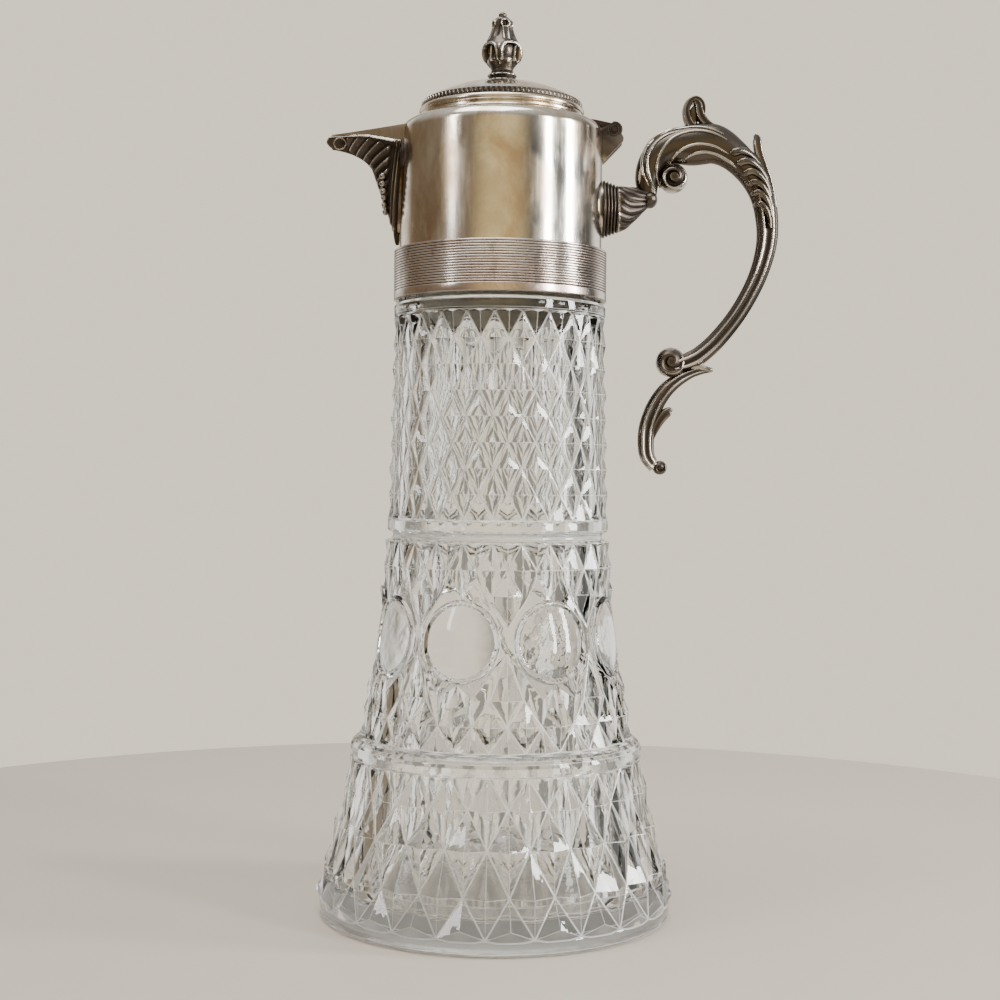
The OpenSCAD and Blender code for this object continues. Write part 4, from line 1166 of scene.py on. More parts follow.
# Radius and height over the foot of the finial's plain form
FINIAL = [(5.55, -0.36), (5.65, 0.2), (5.6, 0.8), (4.9, 1.4), (4.4, 1.9), (4.7, 2.6), (4.4, 3.2), (3.8, 3.9),
          (3.75, 4.7), (4.2, 5.7), (5.0, 6.8), (5.8, 8.2), (6.25, 9.8), (6.3, 11.4), (5.9, 12.8), (5.2, 14.0),
          (4.5, 15.3), (3.8, 16.8), (3.3, 18.4), (3.1, 20.0), (3.0, 21.1), (2.3, 22.0), (1.45, 22.6),
          (1.35, 22.9), (1.4, 23.3), (1.05, 23.8), (0.5, 24.1), (0.1, 24.2)]


def finial_relief(angle, z, r):
    """Stand of the arches, folds, leaves and beads over the plain form."""
    # Angles from the middle of an arch and of a leaf, of which there are four each, and the same in mm
    a, b = (angle + 100) % 90 - 45, (angle + 118) % 90 - 45
    u, w = math.radians(a) * r, math.radians(b) * r
    # The arches, each with a raised lip, a hollow, a fold in the hollow and a stem beside it;
    # arch is 1 on the lip and less inside it.
    arch = (abs(a / 37) ** 3 + max(0.0, (z - 8.6) / 4.4) ** 3) ** (1 / 3)
    lip = 0.65 * math.exp(-((arch - 1) / 0.085) ** 2) * ease((z - 6.4) / 1.2)
    hollow = -1.2 * ease((0.93 - arch) / 0.14) * ease((z - 6.8) / 2.5)
    fold = 0.95 * math.exp(-((u - 1.1 - 0.14 * (z - 8)) / 0.5) ** 2) * ease(z - 6.5) * ease(12.6 - z)
    stem = 0.4 * bell(45 - abs(a), 0, 6) * ease(z - 5) * ease((13 - z) / 2)
    # The leaves, each with two veins, gaps beside it and a curled tip, which is 1 on its ring
    tip = math.hypot(w / 1.35, (z - 19.7) / 1.5)
    up = ease((z - 18.9) / 0.5) * ease((22.0 - z) / 0.6)
    curl = (0.6 * bell(tip, 1, 0.24) - 0.5 * ease((0.8 - tip) / 0.3)) * up
    veins = 0.4 * bell(abs(w), 0.85, 0.32) * ease((z - 13.6) / 0.8) * ease(19.6 - z)
    gap = -0.55 * bell(45 - abs(b), 0, 13) * ease((z - 14.6) / 1.5) * ease((21.8 - z) / 0.6)
    # Two rows of beads round the foot
    beads = (0.35 * abs(math.cos(math.radians(5 * angle))) ** 0.6 * bell(z, 2.6, 0.5)
             + 0.3 * abs(math.cos(math.radians(7 * angle))) ** 0.6 * bell(z, 0.5, 0.5))
    return lip + hollow + fold + stem + curl + veins + gap + beads


class JUG_OT_finial(bpy.types.Operator):
    """Casts the finial: a bud on a beaded foot, with arched hollows and curled leaves"""

    bl_idname = "jug.finial"
    bl_label = "Finial"

    def execute(self, context):
        s = context.scene.claret_jug
        high = in_mm(s.finial_h) / FINIAL[-1][1]
        wide = in_mm(s.finial_r) / FINIAL_R
        form = [(0.6, 0.04), (4.0, -0.12)] + [tuple(p) for p in smooth_line(FINIAL, 6)]
        rings = []
        for r, z in form:
            ring = []
            for angle in range(-180, 180, 2):
                relief = finial_relief(angle, z, r) if z > 0 or r > 5 else 0
                ring.append(polar(angle, (r + relief) * wide, Z_FINIAL + z * high))
            rings.append(ring)
        body = piece("finial_look", lofted(rings), 60)
        wear(body, 10)
        fit(body, "lid", "silver_cast", cast("finial_cast", s, 0.06, 0.2), "finial")
        return {"FINISHED"}


# ---- Spout ----

class Beak:
    """Both sides of the beak as one patch: t runs from the tip to the drum, s from rim to keel."""

    def __init__(self, s):
        self.drum, self.reach, self.half_w = in_mm(s.drum_r), in_mm(s.spout_reach), in_mm(s.spout_half_w)
        self.tip = (-self.drum - self.reach, 0.0, Z_WALL_TOP + 0.2)
        self.foot = Z_BAND_TOP + SPOUT_FOOT

    def drum_at(self, z):
        if z <= Z_WALL_TOP:
            return self.drum
        return self.drum - FILLET + math.sqrt(max(0.01, FILLET ** 2 - (z - Z_WALL_TOP) ** 2))

    def on_drum(self, y, z, out=SOLDER):
        """A point that far over the drum's face on the beak's side."""
        return np.array((-math.sqrt((self.drum_at(z) + out) ** 2 - y * y), y, z))

    def rim(self, t, out):
        """The beak's upper edge, from the tip to the drum."""
        root = self.on_drum(self.half_w + out, self.tip[2] + 1.7)
        return np.array((lerp(self.tip[0] + 1.2, root[0], t), lerp(1.2, root[1], t ** 1.15) + out * (1 - t),
                         lerp(self.tip[2], root[2], t)))

    def keel(self, t, out):
        """The beak's lower edge, in two bows that meet where it is deepest."""
        def bow(a, b, c, t):
            return lerp(lerp(a, b, t), lerp(b, c, t), t)

        a = np.array((self.tip[0] + 1.6, self.tip[2] - 4.2))
        b = np.array((-self.drum - 9.0, Z_WALL_TOP - 10.9))
        c = np.array((-self.drum - 0.8, self.foot))
        p = (bow(a, np.array((b[0] - 3.4, lerp(a[1], b[1], 0.22))), b, 2 * t) if t < 0.5
             else bow(b, np.array((b[0] + 3.6, lerp(b[1], c[1], 0.455))), c, 2 * t - 1))
        return np.array((p[0] - out * (0.6 + 0.4 * t), 0.0, p[1] - out * (1 - 0.6 * t)))

    def root(self, s, out):
        """Where the side of the beak meets the drum, from its rim down to its foot."""
        z = lerp(self.tip[2] + 1.7, self.foot - out, s)
        return self.on_drum(min((self.half_w + out) * (1 - s) ** 0.62 * (1 - 0.25 * s), self.drum * 0.7), z)

    def at(self, t, s, out):
        """The patch between rim, keel, snout and root, a stand out of its face."""
        end = lerp(self.rim(0, out), self.keel(0, out), s)
        sides = lerp(self.rim(t, out), self.keel(t, out), s)
        bulged = end + np.array((-out * math.sin(math.pi * s) * 0.4, 0, 0))
        ends = lerp(bulged, self.root(s, out), t)
        corners = lerp(end, lerp(self.rim(1, out), self.root(1, out), s), t)
        p = sides + ends - corners
        snout = 1.7 * math.sin(math.pi * s) * max(0.0, 1 - t / 0.15) ** 2
        return p[0] - snout, max(0.0, p[1]), p[2]

    def spots(self, first, last, out):
        """Points all over a part of the patch."""
        across = np.linspace(0, 1, 61)
        return np.array([self.at(t, s, out) for t in np.linspace(first, last, 61) for s in across])

    @staticmethod
    def beside(spots, x, z):
        """The one of the spots that is nearest to a place seen from the side."""
        return spots[np.argmin((spots[:, 0] - x) ** 2 + (spots[:, 2] - z) ** 2)]

    def shell(self, ts, ss, outer, inner):
        """A closed sheet between two faces, each given as the stand out of the patch."""
        rings = []
        for t in ts:
            out = [self.at(t, s, outer(t, s)) for s in ss]
            back = [self.at(t, s, inner(t, s)) for s in ss]
            rings.append(out + [(x, -y, z) for x, y, z in reversed(out[:-1])]
                         + [(x, -y, z) for x, y, z in back] + back[-2::-1])
        n, m = len(rings[0]), len(rings)
        faces = [(j * n + i, j * n + (i + 1) % n, (j + 1) * n + (i + 1) % n, (j + 1) * n + i)
                 for j in range(m - 1) for i in range(n)]
        for base in (0, (m - 1) * n):
            faces += [(base + i, base + i + 1, base + n - 2 - i, base + n - 1 - i) for i in range(n // 2 - 1)]
        return [p for ring in rings for p in ring], faces


def leaf_stand(beak, t, s):
    """Stand of the casting: feathered leaves sweep up from the keel to the rim, beside a plain spine."""
    # The blades lie 2.5 mm apart across lines that grow steeper towards the drum.
    x, _, z = beak.at(t, s, 1.0)
    turn = (x + 46.0) * 0.016
    across = ((x + 58.0) * (0.80 - turn) - (z - 256.0) * (0.60 + turn)) / 2.5 % 1.0
    blade = (1 - across) ** 1.3 * ease(across / 0.12)
    grown = ease((t - 0.14) / 0.08) * ease((0.84 - t) / 0.05) * ease((s - 0.2) / 0.08) * ease((1 - s) / 0.12)
    rim = math.exp(-((s - 0.195) / 0.03) ** 2) * 0.5
    # The spine beside the drum has 22 small ribs.
    spine = ease((t - 0.86) / 0.03) * (0.35 + 0.3 * math.cos(math.tau * 22 * (1 - t)))
    keel = math.exp(-((1 - s) / 0.05) ** 2) * 0.5
    # The snout is hollow inside the ring of its eye.
    hollow = -0.6 * math.exp(-((t - 0.1) / 0.055) ** 2 - ((s - 0.55) / 0.22) ** 2)
    return (0.75 + 1.15 * blade * grown + rim + spine + keel + hollow) * (0.2 + 0.8 * ease((1 - t) / 0.04))


def channel_look(s, beak):
    """The sheet inside the casting that the wine runs over."""
    along, across = np.linspace(0, 1, 49), np.linspace(0, 1, 25)
    body = piece("channel_look", beak.shell(along, across, lambda t, k: 0.0, lambda t, k: -DRUM_T))
    fit(body, "jug", "silver_sheet", plate("channel_plate", s, 0.55, 0.25), "spout_channel")


def beak_leaves(beak):
    """The casting over both sides of the channel; it stays dark where it meets the drum."""
    along, across = np.linspace(0, 1, 125), np.linspace(0.16, 1, 81)
    leaves = piece("leaves", beak.shell(
        along, across, lambda t, k: leaf_stand(beak, t, k) * (0.6 + 0.4 * math.sin(math.pi * k)),
        lambda t, k: SOLDER), 60)
    wear(leaves, 8)
    return worn_evenly(leaves, 0.1, lambda p: (1.5 - np.hypot(p[:, 0], p[:, 1]) + beak.drum) / 0.6)


def beak_eyes(beak):
    """A wire ring on each side of the snout."""
    snout, x, z = beak.spots(0.0, 0.35, 0.8), beak.tip[0] + 3.7, beak.tip[2] - 3.0
    ring = [beak.beside(snout, x + 2.1 * math.cos(a), z + 1.75 * math.sin(a))
            for a in np.linspace(0, math.tau, 25)]
    return worn_evenly(piece("eyes", both(tube(ring, 0.32, 8)), 60), 0.9)


def beak_lobes(beak):
    """Beside the beak a lobe of three ribs lies on the drum."""
    ribs = []
    for k in range(3):
        line = smooth_line(stepped(-1.9 * k, 0, (11.4, 259.6 - 0.3 * k), (13.0, 257.9), (13.6, 255.4),
                                   (12.8, 252.9), (10.8, 250.6 + 0.3 * k)), 5)
        swell = 0.35 + 0.75 * np.sin(np.linspace(0, math.pi, len(line)))
        rib = tube([beak.on_drum(y, z, 0.2) for y, z in line], swell, 12)
        ribs.append(worn_evenly(piece("lobe", both(rib), 60), 0.5))
    return ribs


def beak_foot(beak):
    """The tip of the leaf, which runs down the drum towards the band."""
    near = -beak.drum - SOLDER
    line = [(near - 1.2, 237.5, 1.1, 1.6), (near - 1.3, 233.5, 1.2, 1.5), (near - 1.1, 229.5, 1.05, 1.1),
            (near - 0.9, 226.8, 0.85, 0.8), (near - 0.7, 225.4, 0.5, 0.5)]
    foot = piece("foot", strand(line, leaf_relief, 40, 10), 60)
    wear(foot, 8)
    return foot


def beak_pearls(beak, count, finish):
    """Pearls that shrink down both sides of the keel towards its foot."""
    flank, places = beak.spots(0.4, 1.0, 1.5), []
    for m in (-1, 1):
        for i in range(count):
            share = i / max(1, count - 1)
            x, y, z = beak.beside(flank, -beak.drum - lerp(5.6, 5.0, share), lerp(247.9, 236.4, share))
            places.append(((x, m * y, z), (0, 0, 0), 1.25 - 0.3 * share))
    shape = piece("pearl", ball((0, 0, 0), (1, 1, 1)), 60)
    return worn_evenly(repeated("pearls", shape, places, finish), 0.9)


class JUG_OT_spout(bpy.types.Operator):
    """Forms the sheet channel of the beak and the leafy casting that carries it"""

    bl_idname = "jug.spout"
    bl_label = "Spout"

    def execute(self, context):
        s = context.scene.claret_jug
        beak = Beak(s)
        channel_look(s, beak)
        finish = cast("spout_cast", s, -0.08, 0.2)
        body = together("spout_look", beak_leaves(beak), beak_eyes(beak), *beak_lobes(beak), beak_foot(beak),
                        beak_pearls(beak, s.pearls, finish))
        fit(body, "jug", "silver_cast", finish, "spout_casting")
        return {"FINISHED"}


# ---- Hinge ----

def pin_room(r):
    """Skin of the room for the hinge's pin."""
    return moved(rod(r, -8, 8), at(HINGE_X, HINGE_Z) @ quarter_turn("X"))


def knuckle(first, last, count):
    return arc(HINGE_X, HINGE_Z, 2.7, first, last, count)


def bracket_look(drum, finish):
    """Two cheeks with a web between them, cut to the drum, and two rings round each end of the pin."""
    cheek = (stepped(drum, HINGE_Z, (-1.6, -0.2)) + stepped(HINGE_X, HINGE_Z, (-1.2, 1.9))
             + knuckle(100, -30, 16) + stepped(HINGE_X, HINGE_Z, (3.1, -2.7), (3.0, -3.7), (0.9, -5.9))
             + stepped(drum, HINGE_Z, (0.7, -10.2), (-2.5, -10.4)))
    web = (stepped(drum, HINGE_Z, (-1.6, -3.6))
           + stepped(HINGE_X, HINGE_Z, (-1.0, -3.4), (1.6, -3.6), (2.6, -3.5), (0.7, -5.7))
           + stepped(drum, HINGE_Z, (0.5, -9.9), (-2.5, -10.1)))
    drum_room = turned([(0, Z_BAND), (drum + SOLDER, Z_BAND)] + shoulder(drum, SOLDER) + [(0, Z_SEAT)], FINE)
    skins = [moved(drawn_out(cheek, 1.43), Matrix.Translation((0, y, 0))) for y in (3.37, -3.37)]
    parts = [piece("part", skin) for skin in skins + [drawn_out(web, 2.2)]]
    for part in parts:
        cut(part, drum_room)
        cut(part, pin_room(0.92))
    rings = [tube([(x, y, z) for x, z in arc(HINGE_X, HINGE_Z, r, 0, 360, 32)], 0.16, 8)
             for y in (-4.82, 4.82) for r in (1.35, 2.2)]
    body = together("bracket_look", *parts, piece("rings", joined(*rings)))
    rounded(body, 0.25)
    wear(body, 3)
    fit(body, "jug", "silver_cast", finish, "hinge_bracket")


def hinge_leaf_look(drum, lid, finish):
    """The lid's strap, from the flange to its knuckle on the pin."""
    end = 27.2
    strap = ([(end, Z_LID + 0.15), (SEAT_R + 0.5, Z_LID + 0.15), (drum - 1.2, Z_SEAT - 0.85),
              (drum + 0.8, HINGE_Z + 0.1)] + knuckle(-150, 90, 24)
             + [(HINGE_X - 2, HINGE_Z + 3.0), (drum - 1.2, Z_SEAT + 0.65), (SEAT_R + 1, Z_LID + 0.95),
                (end, Z_LID + 0.95)])
    body = piece("leaf_look", drawn_out(strap, 1.85))
    cut(body, rod(lid + SOLDER, Z_LID - 3, Z_LID + 9, FINE))
    cut(body, pin_room(0.95))
    rounded(body, 0.18)
    wear(body, 3)
    fit(body, "lid", "silver_cast", finish, "lid_hinge_leaf")


def rounded(obj, width):
    """Rounds the piece's edges."""
    modifier = obj.modifiers.new("round", "BEVEL")
    modifier.limit_method = "ANGLE"
    modifier.angle_limit = math.radians(30)
    modifier.width = width * MM
    modifier.segments = 3
    modifier.use_clamp_overlap = True
    settle(obj)
    polish(obj, 40)


class JUG_OT_hinge(bpy.types.Operator):
    """Casts the bracket behind the drum and the lid's leaf with its knuckle"""

    bl_idname = "jug.hinge"
    bl_label = "Hinge"

    def execute(self, context):
        s = context.scene.claret_jug
        drum, finish = in_mm(s.drum_r), cast("hinge_cast", s, -0.22, 0.3)
        bracket_look(drum, finish)
        hinge_leaf_look(drum, in_mm(s.lid_r), finish)
        return {"FINISHED"}


# ---- Handle; places are measured from the middle of the socket's foot ----

# Lines of strands: x, z, half thickness and half width in millimetres
MAIN = [(16.2, 3.6, 2.4, 2.2), (15.4, 9.9, 4.2, 3.9), (17.5, 16.7, 4.9, 5.0), (22.5, 20.9, 5.5, 5.5),
        (30.0, 22.0, 6.9, 5.5), (37.5, 22.5, 6.8, 5.2), (44.3, 19.0, 5.5, 4.7), (50.5, 12.6, 4.7, 4.2),
        (54.6, 4.8, 4.2, 3.9), (56.2, -4.4, 3.8, 3.6), (55.9, -12.2, 3.5, 3.4), (53.7, -20.7, 3.2, 3.2),
        (50.2, -28.6, 3.05, 3.0), (45.5, -36.4, 3.0, 2.9), (39.5, -43.9, 3.05, 2.9), (34.2, -48.8, 3.1, 2.9),
        (30.2, -51.2, 3.2, 2.9), (25.0, -52.9, 2.7, 2.5)]
TAIL = [(38.2, -54.3, 0.45, 0.5), (34.4, -54.2, 1.4, 1.4), (30.7, -55.3, 1.7, 1.8), (26.4, -57.6, 2.2, 2.3),
        (22.6, -60.8, 2.6, 2.6), (19.7, -64.8, 2.8, 2.8), (17.7, -69.0, 2.9, 2.9), (16.2, -74.0, 2.9, 2.7),
        (15.8, -79.0, 2.8, 2.6), (16.4, -83.6, 2.6, 2.3), (18.9, -87.4, 2.0, 1.9)]
THUMB_FRONT = [(42.5, 26.0, 0.4, 1.2), (38.6, 27.6, 1.1, 2.0), (35.6, 29.1, 1.5, 2.3), (33.6, 31.2, 1.7, 2.5),
               (32.7, 33.6, 1.6, 2.5), (32.2, 35.8, 1.4, 2.3), (31.0, 36.9, 1.0, 2.0), (30.2, 36.0, 0.7, 1.6)]
THUMB_REAR = [(38.0, 26.2, 0.5, 1.4), (33.5, 26.8, 1.2, 2.2), (30.2, 28.4, 1.6, 2.6), (28.7, 31.0, 1.5, 2.6),
              (28.3, 34.0, 1.25, 2.4), (29.4, 36.6, 1.15, 2.2), (31.6, 37.7, 1.1, 2.1),
              (33.5, 36.4, 1.0, 1.9), (34.1, 33.8, 0.8, 1.6), (33.6, 31.5, 0.5, 1.2)]
THUMB_CORE = [(30.4, 26.5, 1.6, 0.9), (30.5, 30.0, 1.7, 0.8), (31.2, 33.5, 1.7, 0.8), (31.6, 35.4, 0.8, 0.6)]
BACK_LEAF = [(51.6, 25.9, 0.5, 0.9), (52.4, 24.6, 1.3, 1.5), (52.6, 22.4, 1.6, 1.9), (53.3, 19.2, 1.5, 2.0),
             (55.0, 14.5, 1.4, 1.9), (56.8, 9.3, 1.2, 1.8), (58.2, 3.0, 1.1, 1.7), (58.8, -4.0, 1.0, 1.4),
             (58.6, -11.0, 0.6, 1.0)]
# The bud and the leaf's tip at the two ends of the tail
TAIL_BUD = [(18.0, -78.0, 0.5, 1.0), (18.7, -75.0, 1.2, 1.6), (20.2, -71.8, 1.6, 1.9),
            (22.1, -69.3, 1.75, 1.9), (23.7, -68.2, 1.5, 1.6), (24.7, -68.3, 0.7, 0.9)]
TAIL_TIP = [(29.5, -53.2, 1.0, 1.4), (33.5, -53.2, 1.2, 1.5), (36.2, -53.8, 1.0, 1.1),
            (37.6, -54.0, 0.8, 0.8), (38.4, -54.2, 0.35, 0.4)]
# Acanthus leaves that lap over both sides of the stem, from head to tail
LOBES = [[(43.9, 18.7), (47.0, 19.6), (50.7, 18.4), (53.6, 15.6), (55.7, 11.5)],
         [(46.2, 15.5), (49.1, 16.1), (52.4, 14.7), (54.9, 11.9), (56.5, 7.8)],
         [(48.3, 12.2), (50.7, 12.6), (53.6, 11.0), (55.7, 8.2), (56.9, 4.5)],
         [(49.9, 8.9), (52.0, 9.0), (54.4, 7.3), (56.1, 4.5), (57.3, 1.2)],
         [(51.4, 5.6), (53.2, 5.5), (55.1, 3.6), (56.5, 0.8), (57.3, -2.5)],
         [(52.4, 2.0), (54.0, 1.6), (55.5, -0.5), (56.5, -3.4), (56.9, -6.2)]]
# Thin ridges that sweep from the bud and the volute over both sides of the scroll
RIDGES = [[(15.6, 7.6), (13.6, 11.5), (13.2, 15.6), (14.4, 20.3), (17.4, 24.3), (22.1, 26.7), (28.1, 27.7),
           (34.5, 27.4), (40.5, 25.2)],
          [(18.0, 7.0), (15.6, 10.9), (14.9, 14.8), (15.4, 18.4), (17.6, 22.0), (21.2, 24.8), (25.6, 26.2)],
          [(19.8, 7.4), (18.3, 11.5), (18.4, 15.6), (20.0, 19.7), (23.1, 23.4), (27.3, 25.5), (31.8, 26.2),
           (36.7, 25.5), (41.6, 23.2)],
          [(22.3, 14.6), (24.0, 17.4), (26.4, 19.5), (29.7, 21.0), (33.4, 21.4), (37.6, 20.7), (42.2, 18.4)],
          [(27.6, 16.6), (30.8, 18.3), (34.7, 18.9), (38.6, 18.1), (42.6, 16.0), (45.0, 14.0)]]


def scroll_relief(share, c):
    """The scroll is plain between its applied ridges; the stem's ridges start below it."""
    return lerp(0.96, stem_relief(share, c), ease((share - 0.4) / 0.1))


def draped(skin, line, sink=0.35):
    """Lays a skin drawn round Y = 0 on the side of the body that runs along the line."""
    near = smooth_line(line, 24)
    way = np.gradient(near[:, :2], axis=0)
    way /= np.linalg.norm(way, axis=1)[:, None]
    points = []
    for x, y, z in skin[0]:
        i = int(np.argmin((near[:, 0] - x) ** 2 + (near[:, 1] - z) ** 2))
        off = (x - near[i, 0]) * -way[i, 1] + (z - near[i, 1]) * way[i, 0]
        side = math.sqrt(max(0.05, 1 - (off / near[i, 2]) ** 2)) * near[i, 3]
        points.append((x, y + side - sink, z))
    return points, skin[1]


def stem_relief(share, c):
    """Two ridges run along each side of the stem, between its rounded edges."""
    return 0.72 + 0.3 * (bell(c, 0, 17) + bell(c, 62, 12) + bell(c, 116, 12) + bell(c, 180, 17))


def leaf_relief(share, c):
    return 0.75 + 0.3 * bell(c, 45, 22) + 0.3 * bell(c, 135, 22)


def volute(x, z, r, half_w, turns=1.6, count=96):
    """Skin of a coil on both sides: a rounded ridge winds in to the raised eye."""
    rows = 26
    points, faces = [], []
    for side in (-1, 1):
        base = len(points)
        points.append((x, side * half_w, z))
        for j in range(1, rows + 1):
            q = j / rows
            for i in range(count):
                a = math.tau * i / count
                coil = 0.5 + 0.5 * math.cos(math.tau * (turns * (1 - q) + i / count))
                eye = ease((0.36 - q) / 0.1)
                high = lerp(0.72 + 0.24 * coil, 0.98, eye) * (1 - 0.66 * (max(0.0, q - 0.66) / 0.34) ** 2.4)
                points.append((x + r * q * math.cos(a), side * half_w * high, z + r * q * math.sin(a)))
        faces += [(base, base + 1 + i, base + 1 + (i + 1) % count) for i in range(count)]
        for j in range(rows - 1):
            p = base + 1 + j * count
            faces += [(p + i, p + (i + 1) % count, p + count + (i + 1) % count, p + count + i)
                      for i in range(count)]
    rim, gap = 1 + (rows - 1) * count, 1 + rows * count
    faces += [(rim + i, rim + (i + 1) % count, rim + gap + (i + 1) % count, rim + gap + i)
              for i in range(count)]
    return points, faces


def fluted_neck():
    """The neck's flutes swirl as it narrows from the socket into the scroll."""
    line = smooth_line([(5.4, 0, 7.6), (7.2, 0.5, 7.2), (9.1, 1.3, 6.2), (11.8, 2.7, 4.8), (14.4, 3.9, 3.4),
                        (16.4, 4.6, 2.6)], 8)
    rings = []
    for j, (x, z, r) in enumerate(line):
        lean, swirl = 0.36 * j / (len(line) - 1), 1.6 * (j / (len(line) - 1)) ** 1.3
        ring = []
        for k in range(120):
            c = math.tau * k / 120
            out = r * (0.93 + 0.1 * abs(math.cos(7 * (c + swirl))) ** 0.8)
            ring.append((x - out * math.sin(c) * lean, -out * math.cos(c), z + out * math.sin(c)))
        rings.append(ring)
    return lofted(rings)


def socket_look(s, drum, place):
    """The ringed socket, cut to the drum."""
    section = [(9.6, -3.0)]
    for i in range(5):
        section += stepped(9.75 - 0.42 * i, 0.1 + 1.12 * i, (-0.75, 0), (-0.15, 0.2), (0, 0.5), (-0.05, 0.78),
                           (-0.7, 1.0))
    section += [(7.2, 5.4), (2.15, 5.4), (2.15, -3.0)]
    body = piece("socket_look", moved(turned(soften(section, 0.15), 128), place @ quarter_turn("Y")))
    cut(body, rod(drum + SOLDER, Z_RING, Z_WALL_TOP, FINE))
    polish(body, 50)
    wear(body, 4)
    fit(body, "jug", "silver_cast", cast("socket_cast", s, 0.08, 0.24), "handle_socket")


def handle_curls(half_w):
    """Skins of the curling leaves and of the volutes on both sides."""
    return [strand(THUMB_FRONT, leaf_relief), strand(THUMB_REAR, leaf_relief),
            strand(BACK_LEAF, leaf_relief, 32), strand(THUMB_CORE, None, 24, 6),
            volute(24, 10.7, 4.9, half_w - 0.6), volute(23.9, -51.6, 5.0, half_w * 0.55, 1.4),
            strand(TAIL_BUD, leaf_relief), volute(20.6, -87.4, 2.4, half_w * 0.42, 1.1, 64),
            strand(TAIL_TIP, None, 20, 6)]


def handle_look(s, place):
    """The scroll handle: neck, stem and tail, curls, bud, leaves over the stem and ridges on the scroll."""
    def part(name, skin):
        return piece(name, moved(skin, place), 60)

    half_w = in_mm(s.handle_half_w)
    share = half_w / max(wide for _, _, _, wide in MAIN)
    main = [(x, z, thick, wide * share) for x, z, thick, wide in MAIN]
    neck = part("neck", fluted_neck())
    wear(neck, 10, -0.12)
    stem = part("stem", joined(strand(main, scroll_relief, 120, 14), strand(TAIL, stem_relief, 96, 12)))
    wear(stem, 26, 0.14)
    worn_evenly(stem, 0.5, lambda p: 0.95 * np.clip((p[:, 2] - SOCKET_Z) / 6, 0, 1))
    curls = part("curls", joined(*handle_curls(half_w)))
    wear(curls, 12, -0.05)
    bud = part("bud", ball((16.2, 0, 3.4), (2.7, 4.3, 2.9)))
    parts = [neck, stem, curls, worn_evenly(bud, 0.4)]
    for i, lobe in enumerate(LOBES):
        size = 1 - 0.06 * i
        swell = [0.5, 1.45 * size, 1.45 * size, 1.3 * size, size, 0.4]
        line = stepped(*lobe[0], (-0.9, -0.6)) + lobe
        skin = strand([(x, z, r, 0.95 * r) for (x, z), r in zip(line, swell)], None, 24)
        parts.append(worn_evenly(part("lobe", both(draped(skin, main, 0.1))), 0.62))
    for line in RIDGES:
        ends = (0, len(line) - 1)
        skin = strand([(x, z, 0.2, 0.3) if j in ends else (x, z, 0.5, 0.75) for j, (x, z) in enumerate(line)],
                      None, 16)
        parts.append(worn_evenly(part("ridge", both(draped(skin, main, 0.3))), 0.85))
    body = together("handle_look", *parts)
    fit(body, "jug", "silver_cast", cast("handle_cast", s, 0.06, 0.2), "handle_scroll")


class JUG_OT_handle(bpy.types.Operator):
    """Casts the ringed socket and the scroll handle with its volutes and leaves"""

    bl_idname = "jug.handle"
    bl_label = "Handle"

    def execute(self, context):
        s = context.scene.claret_jug
        drum = in_mm(s.drum_r)
        place = at(drum, SOCKET_Z)
        socket_look(s, drum, place)
        handle_look(s, place)
        return {"FINISHED"}


# ---- Hidden and plain pieces keep the frame's own shapes ----

class JUG_OT_fixings(bpy.types.Operator):
    """Gives the cement, the hinge's pin, screws, washers and nut their finishes"""

    bl_idname = "jug.fixings"
    bl_label = "Cement and fixings"

    def execute(self, context):
        s = context.scene.claret_jug
        finishes = {"cement_ring": dull("bedding", s.cement, 0.0, 0.8),
                    "hinge_pin": dull("pin", s.pin, 1.0, 0.4)}
        brass = dull("brass", s.brass, 1.0, 0.28)
        for node in ("cement_ring", "hinge_pin", "handle_screw", "handle_washer", "finial_screw",
                     "finial_washer", "finial_nut"):
            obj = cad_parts[node]
            obj.data.materials.clear()
            obj.data.materials.append(finishes.get(node, brass))
        return {"FINISHED"}


# ---- Stage ----

# The camera of the photograph: place in metres, turns in degrees, lens in millimetres
EYE = (0.00068, -0.560, 0.14604)
TILT, ROLL = -0.688, 0.56
LENS_MM = 59.3
# Tall windows: name, angle round the jug from the camera, height, distance, width, length and watts
WINDOWS = (("window_near", 54, 0.42, 1.25, 0.15, 0.75, 16), ("window_far", 83, 0.42, 1.25, 0.20, 0.75, 22),
           ("window_left", -56, 0.72, 1.25, 0.16, 0.5, 3.5))


def floor_look():
    """A pale round table with a rounded edge."""
    pale = Paint("floor")
    mottle = pale.noise(pale.here(), 6.0, 4.0, 0.6)
    pale.surface(Base_Color=pale.blend(mottle, (0.40, 0.35, 0.29, 1), (0.45, 0.40, 0.33, 1)), Roughness=0.6,
                 Emission_Color=(0.9, 0.8, 0.66, 1), Emission_Strength=0.1)
    edge = [(0, -0.3), (360, -0.3), (368, -1.5), (372, -6), (372, -30), (0, -30)]
    floor = piece("floor", turned(edge, AROUND), 50)
    floor.data.materials.append(pale.material)


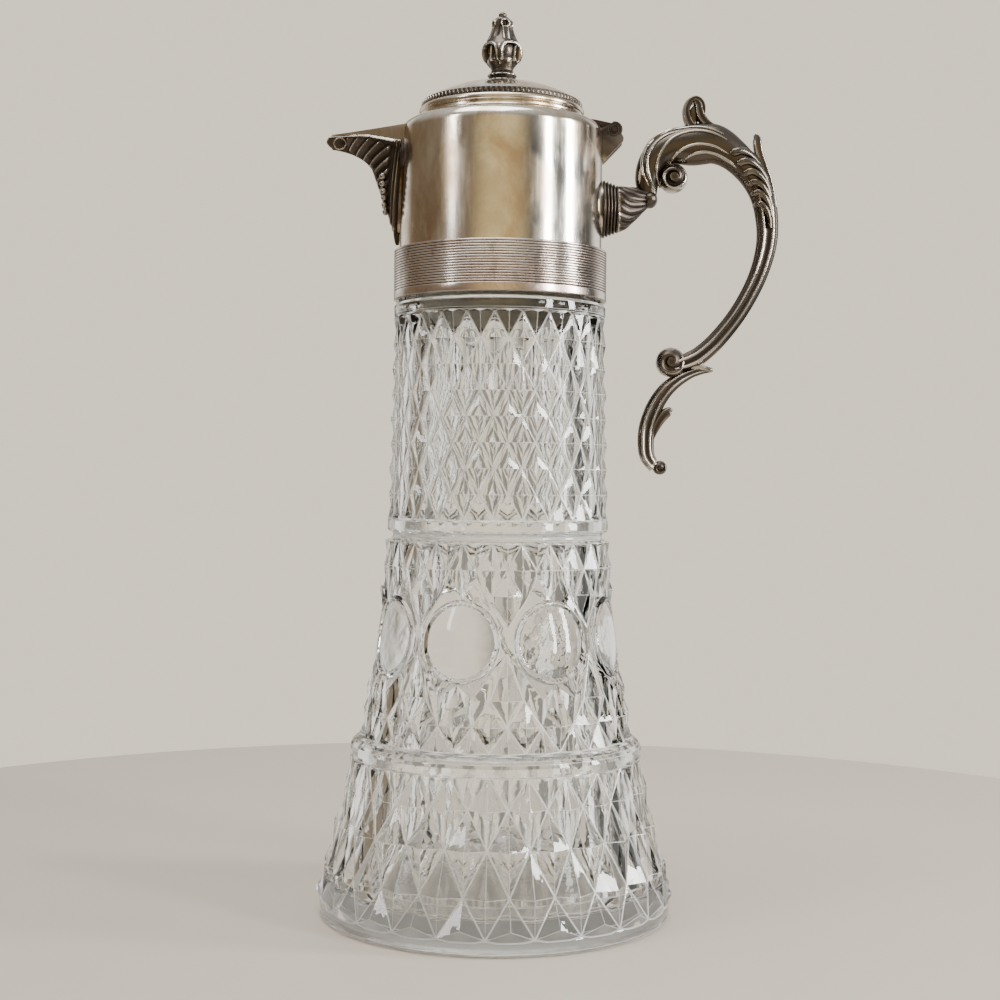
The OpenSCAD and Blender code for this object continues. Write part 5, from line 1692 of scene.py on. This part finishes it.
def studio():
    """The room round the jug: plain and pale to the camera, and shaded for what the jug mirrors and bends."""
    world = bpy.data.worlds.new("studio")
    world.use_nodes = True
    sky = Net(world.node_tree)
    x, y, z = sky.node("ShaderNodeTexCoord", {}, {}, "Generated").parts()
    side, pale = x.math("ABSOLUTE"), (1.15, 1.04, 0.84, 1)
    # In front of the jug it is dim, with a warm glow close round the camera.
    tint = sky.blend(x.fit(-0.7, 0.7), (0.24, 0.185, 0.125, 1), (0.10, 0.10, 0.095, 1))
    tint = sky.blend(y.fit(-0.98, -0.78, 1.0, 0.0), tint, (1.0, 0.78, 0.41, 1))
    # Behind it a pale middle, then a dim and a bright strip on each side outline the glass.
    back = sky.blend(side.fit(0.14, 0.28), pale, (0.30, 0.28, 0.25, 1))
    back = sky.blend(side.fit(0.38, 0.5), back, (1.5, 1.45, 1.35, 1))
    tint = sky.blend(y.fit(0.5, 0.75), tint, back)
    tint = sky.blend(z.fit(0.2, 0.9), tint, (0.80, 0.80, 0.78, 1))
    tint = sky.blend(sky.node("ShaderNodeLightPath", {}, {}, "Is Camera Ray"), tint, pale)
    light = sky.node("ShaderNodeBackground", {}, {"Color": tint, "Strength": 1.0}, "Background")
    sky.node("ShaderNodeOutputWorld", {}, {"Surface": light})
    return world


def panel(name, place, target, wide, tall, power):
    """A soft light that faces the target."""
    data = bpy.data.lights.new(name, "AREA")
    data.shape, data.size, data.size_y, data.energy = "RECTANGLE", wide, tall, power
    light = bpy.data.objects.new(name, data)
    light.location = place
    light.rotation_euler = (Vector(target) - Vector(place)).to_track_quat("-Z", "Y").to_euler()
    light.visible_camera = False
    bpy.context.scene.collection.objects.link(light)


def photo_camera():
    lens = bpy.data.cameras.new("photo")
    lens.lens = LENS_MM
    camera = bpy.data.objects.new("photo", lens)
    camera.matrix_world = (Matrix.Translation(EYE) @ Matrix.Rotation(math.radians(90 + TILT), 4, "X")
                           @ Matrix.Rotation(math.radians(ROLL), 4, "Z"))
    bpy.context.scene.collection.objects.link(camera)
    return camera


class JUG_OT_stage(bpy.types.Operator):
    """Sets the pale floor, the soft studio light and the camera at the photo's angle"""

    bl_idname = "jug.stage"
    bl_label = "Stage"

    def execute(self, context):
        floor_look()
        context.scene.world = studio()
        for name, angle, high, away, wide, tall, power in WINDOWS:
            a = math.radians(angle)
            panel(name, (away * math.sin(a), -away * math.cos(a), high), (0, 0, 0.2), wide, tall, power)
        panel("ceiling", (-0.2, -0.3, 1.6), (0, 0, 0.1), 1.2, 1.0, 22)
        context.scene.camera = photo_camera()
        return {"FINISHED"}


class JUG_PT_panel(bpy.types.Panel):
    """Lists the steps that build the jug"""

    bl_idname = "JUG_PT_panel"
    bl_label = "Claret jug"
    bl_space_type = "VIEW_3D"
    bl_region_type = "UI"
    bl_category = "Claret jug"

    def draw(self, context):
        layout = self.layout
        for name in JugSettings.__annotations__:
            layout.prop(context.scene.claret_jug, name)
        for step in STEPS:
            layout.operator(step.bl_idname)


STEPS = (JUG_OT_stage, JUG_OT_glass, JUG_OT_mount, JUG_OT_lid, JUG_OT_finial, JUG_OT_spout, JUG_OT_hinge,
         JUG_OT_handle, JUG_OT_fixings)
CLASSES = (JugSettings,) + STEPS + (JUG_PT_panel,)


def register():
    for cls in CLASSES:
        bpy.utils.register_class(cls)
    bpy.types.Scene.claret_jug = PointerProperty(type=JugSettings)


def unregister():
    del bpy.types.Scene.claret_jug
    for cls in reversed(CLASSES):
        bpy.utils.unregister_class(cls)


def main():
    register()
    for step in STEPS:
        group, name = step.bl_idname.split(".")
        result = getattr(getattr(bpy.ops, group), name)()
        if "FINISHED" not in result:
            raise RuntimeError(f"{step.bl_idname} ended with {result}")
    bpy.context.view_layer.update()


if __name__ == "__main__":
    main()
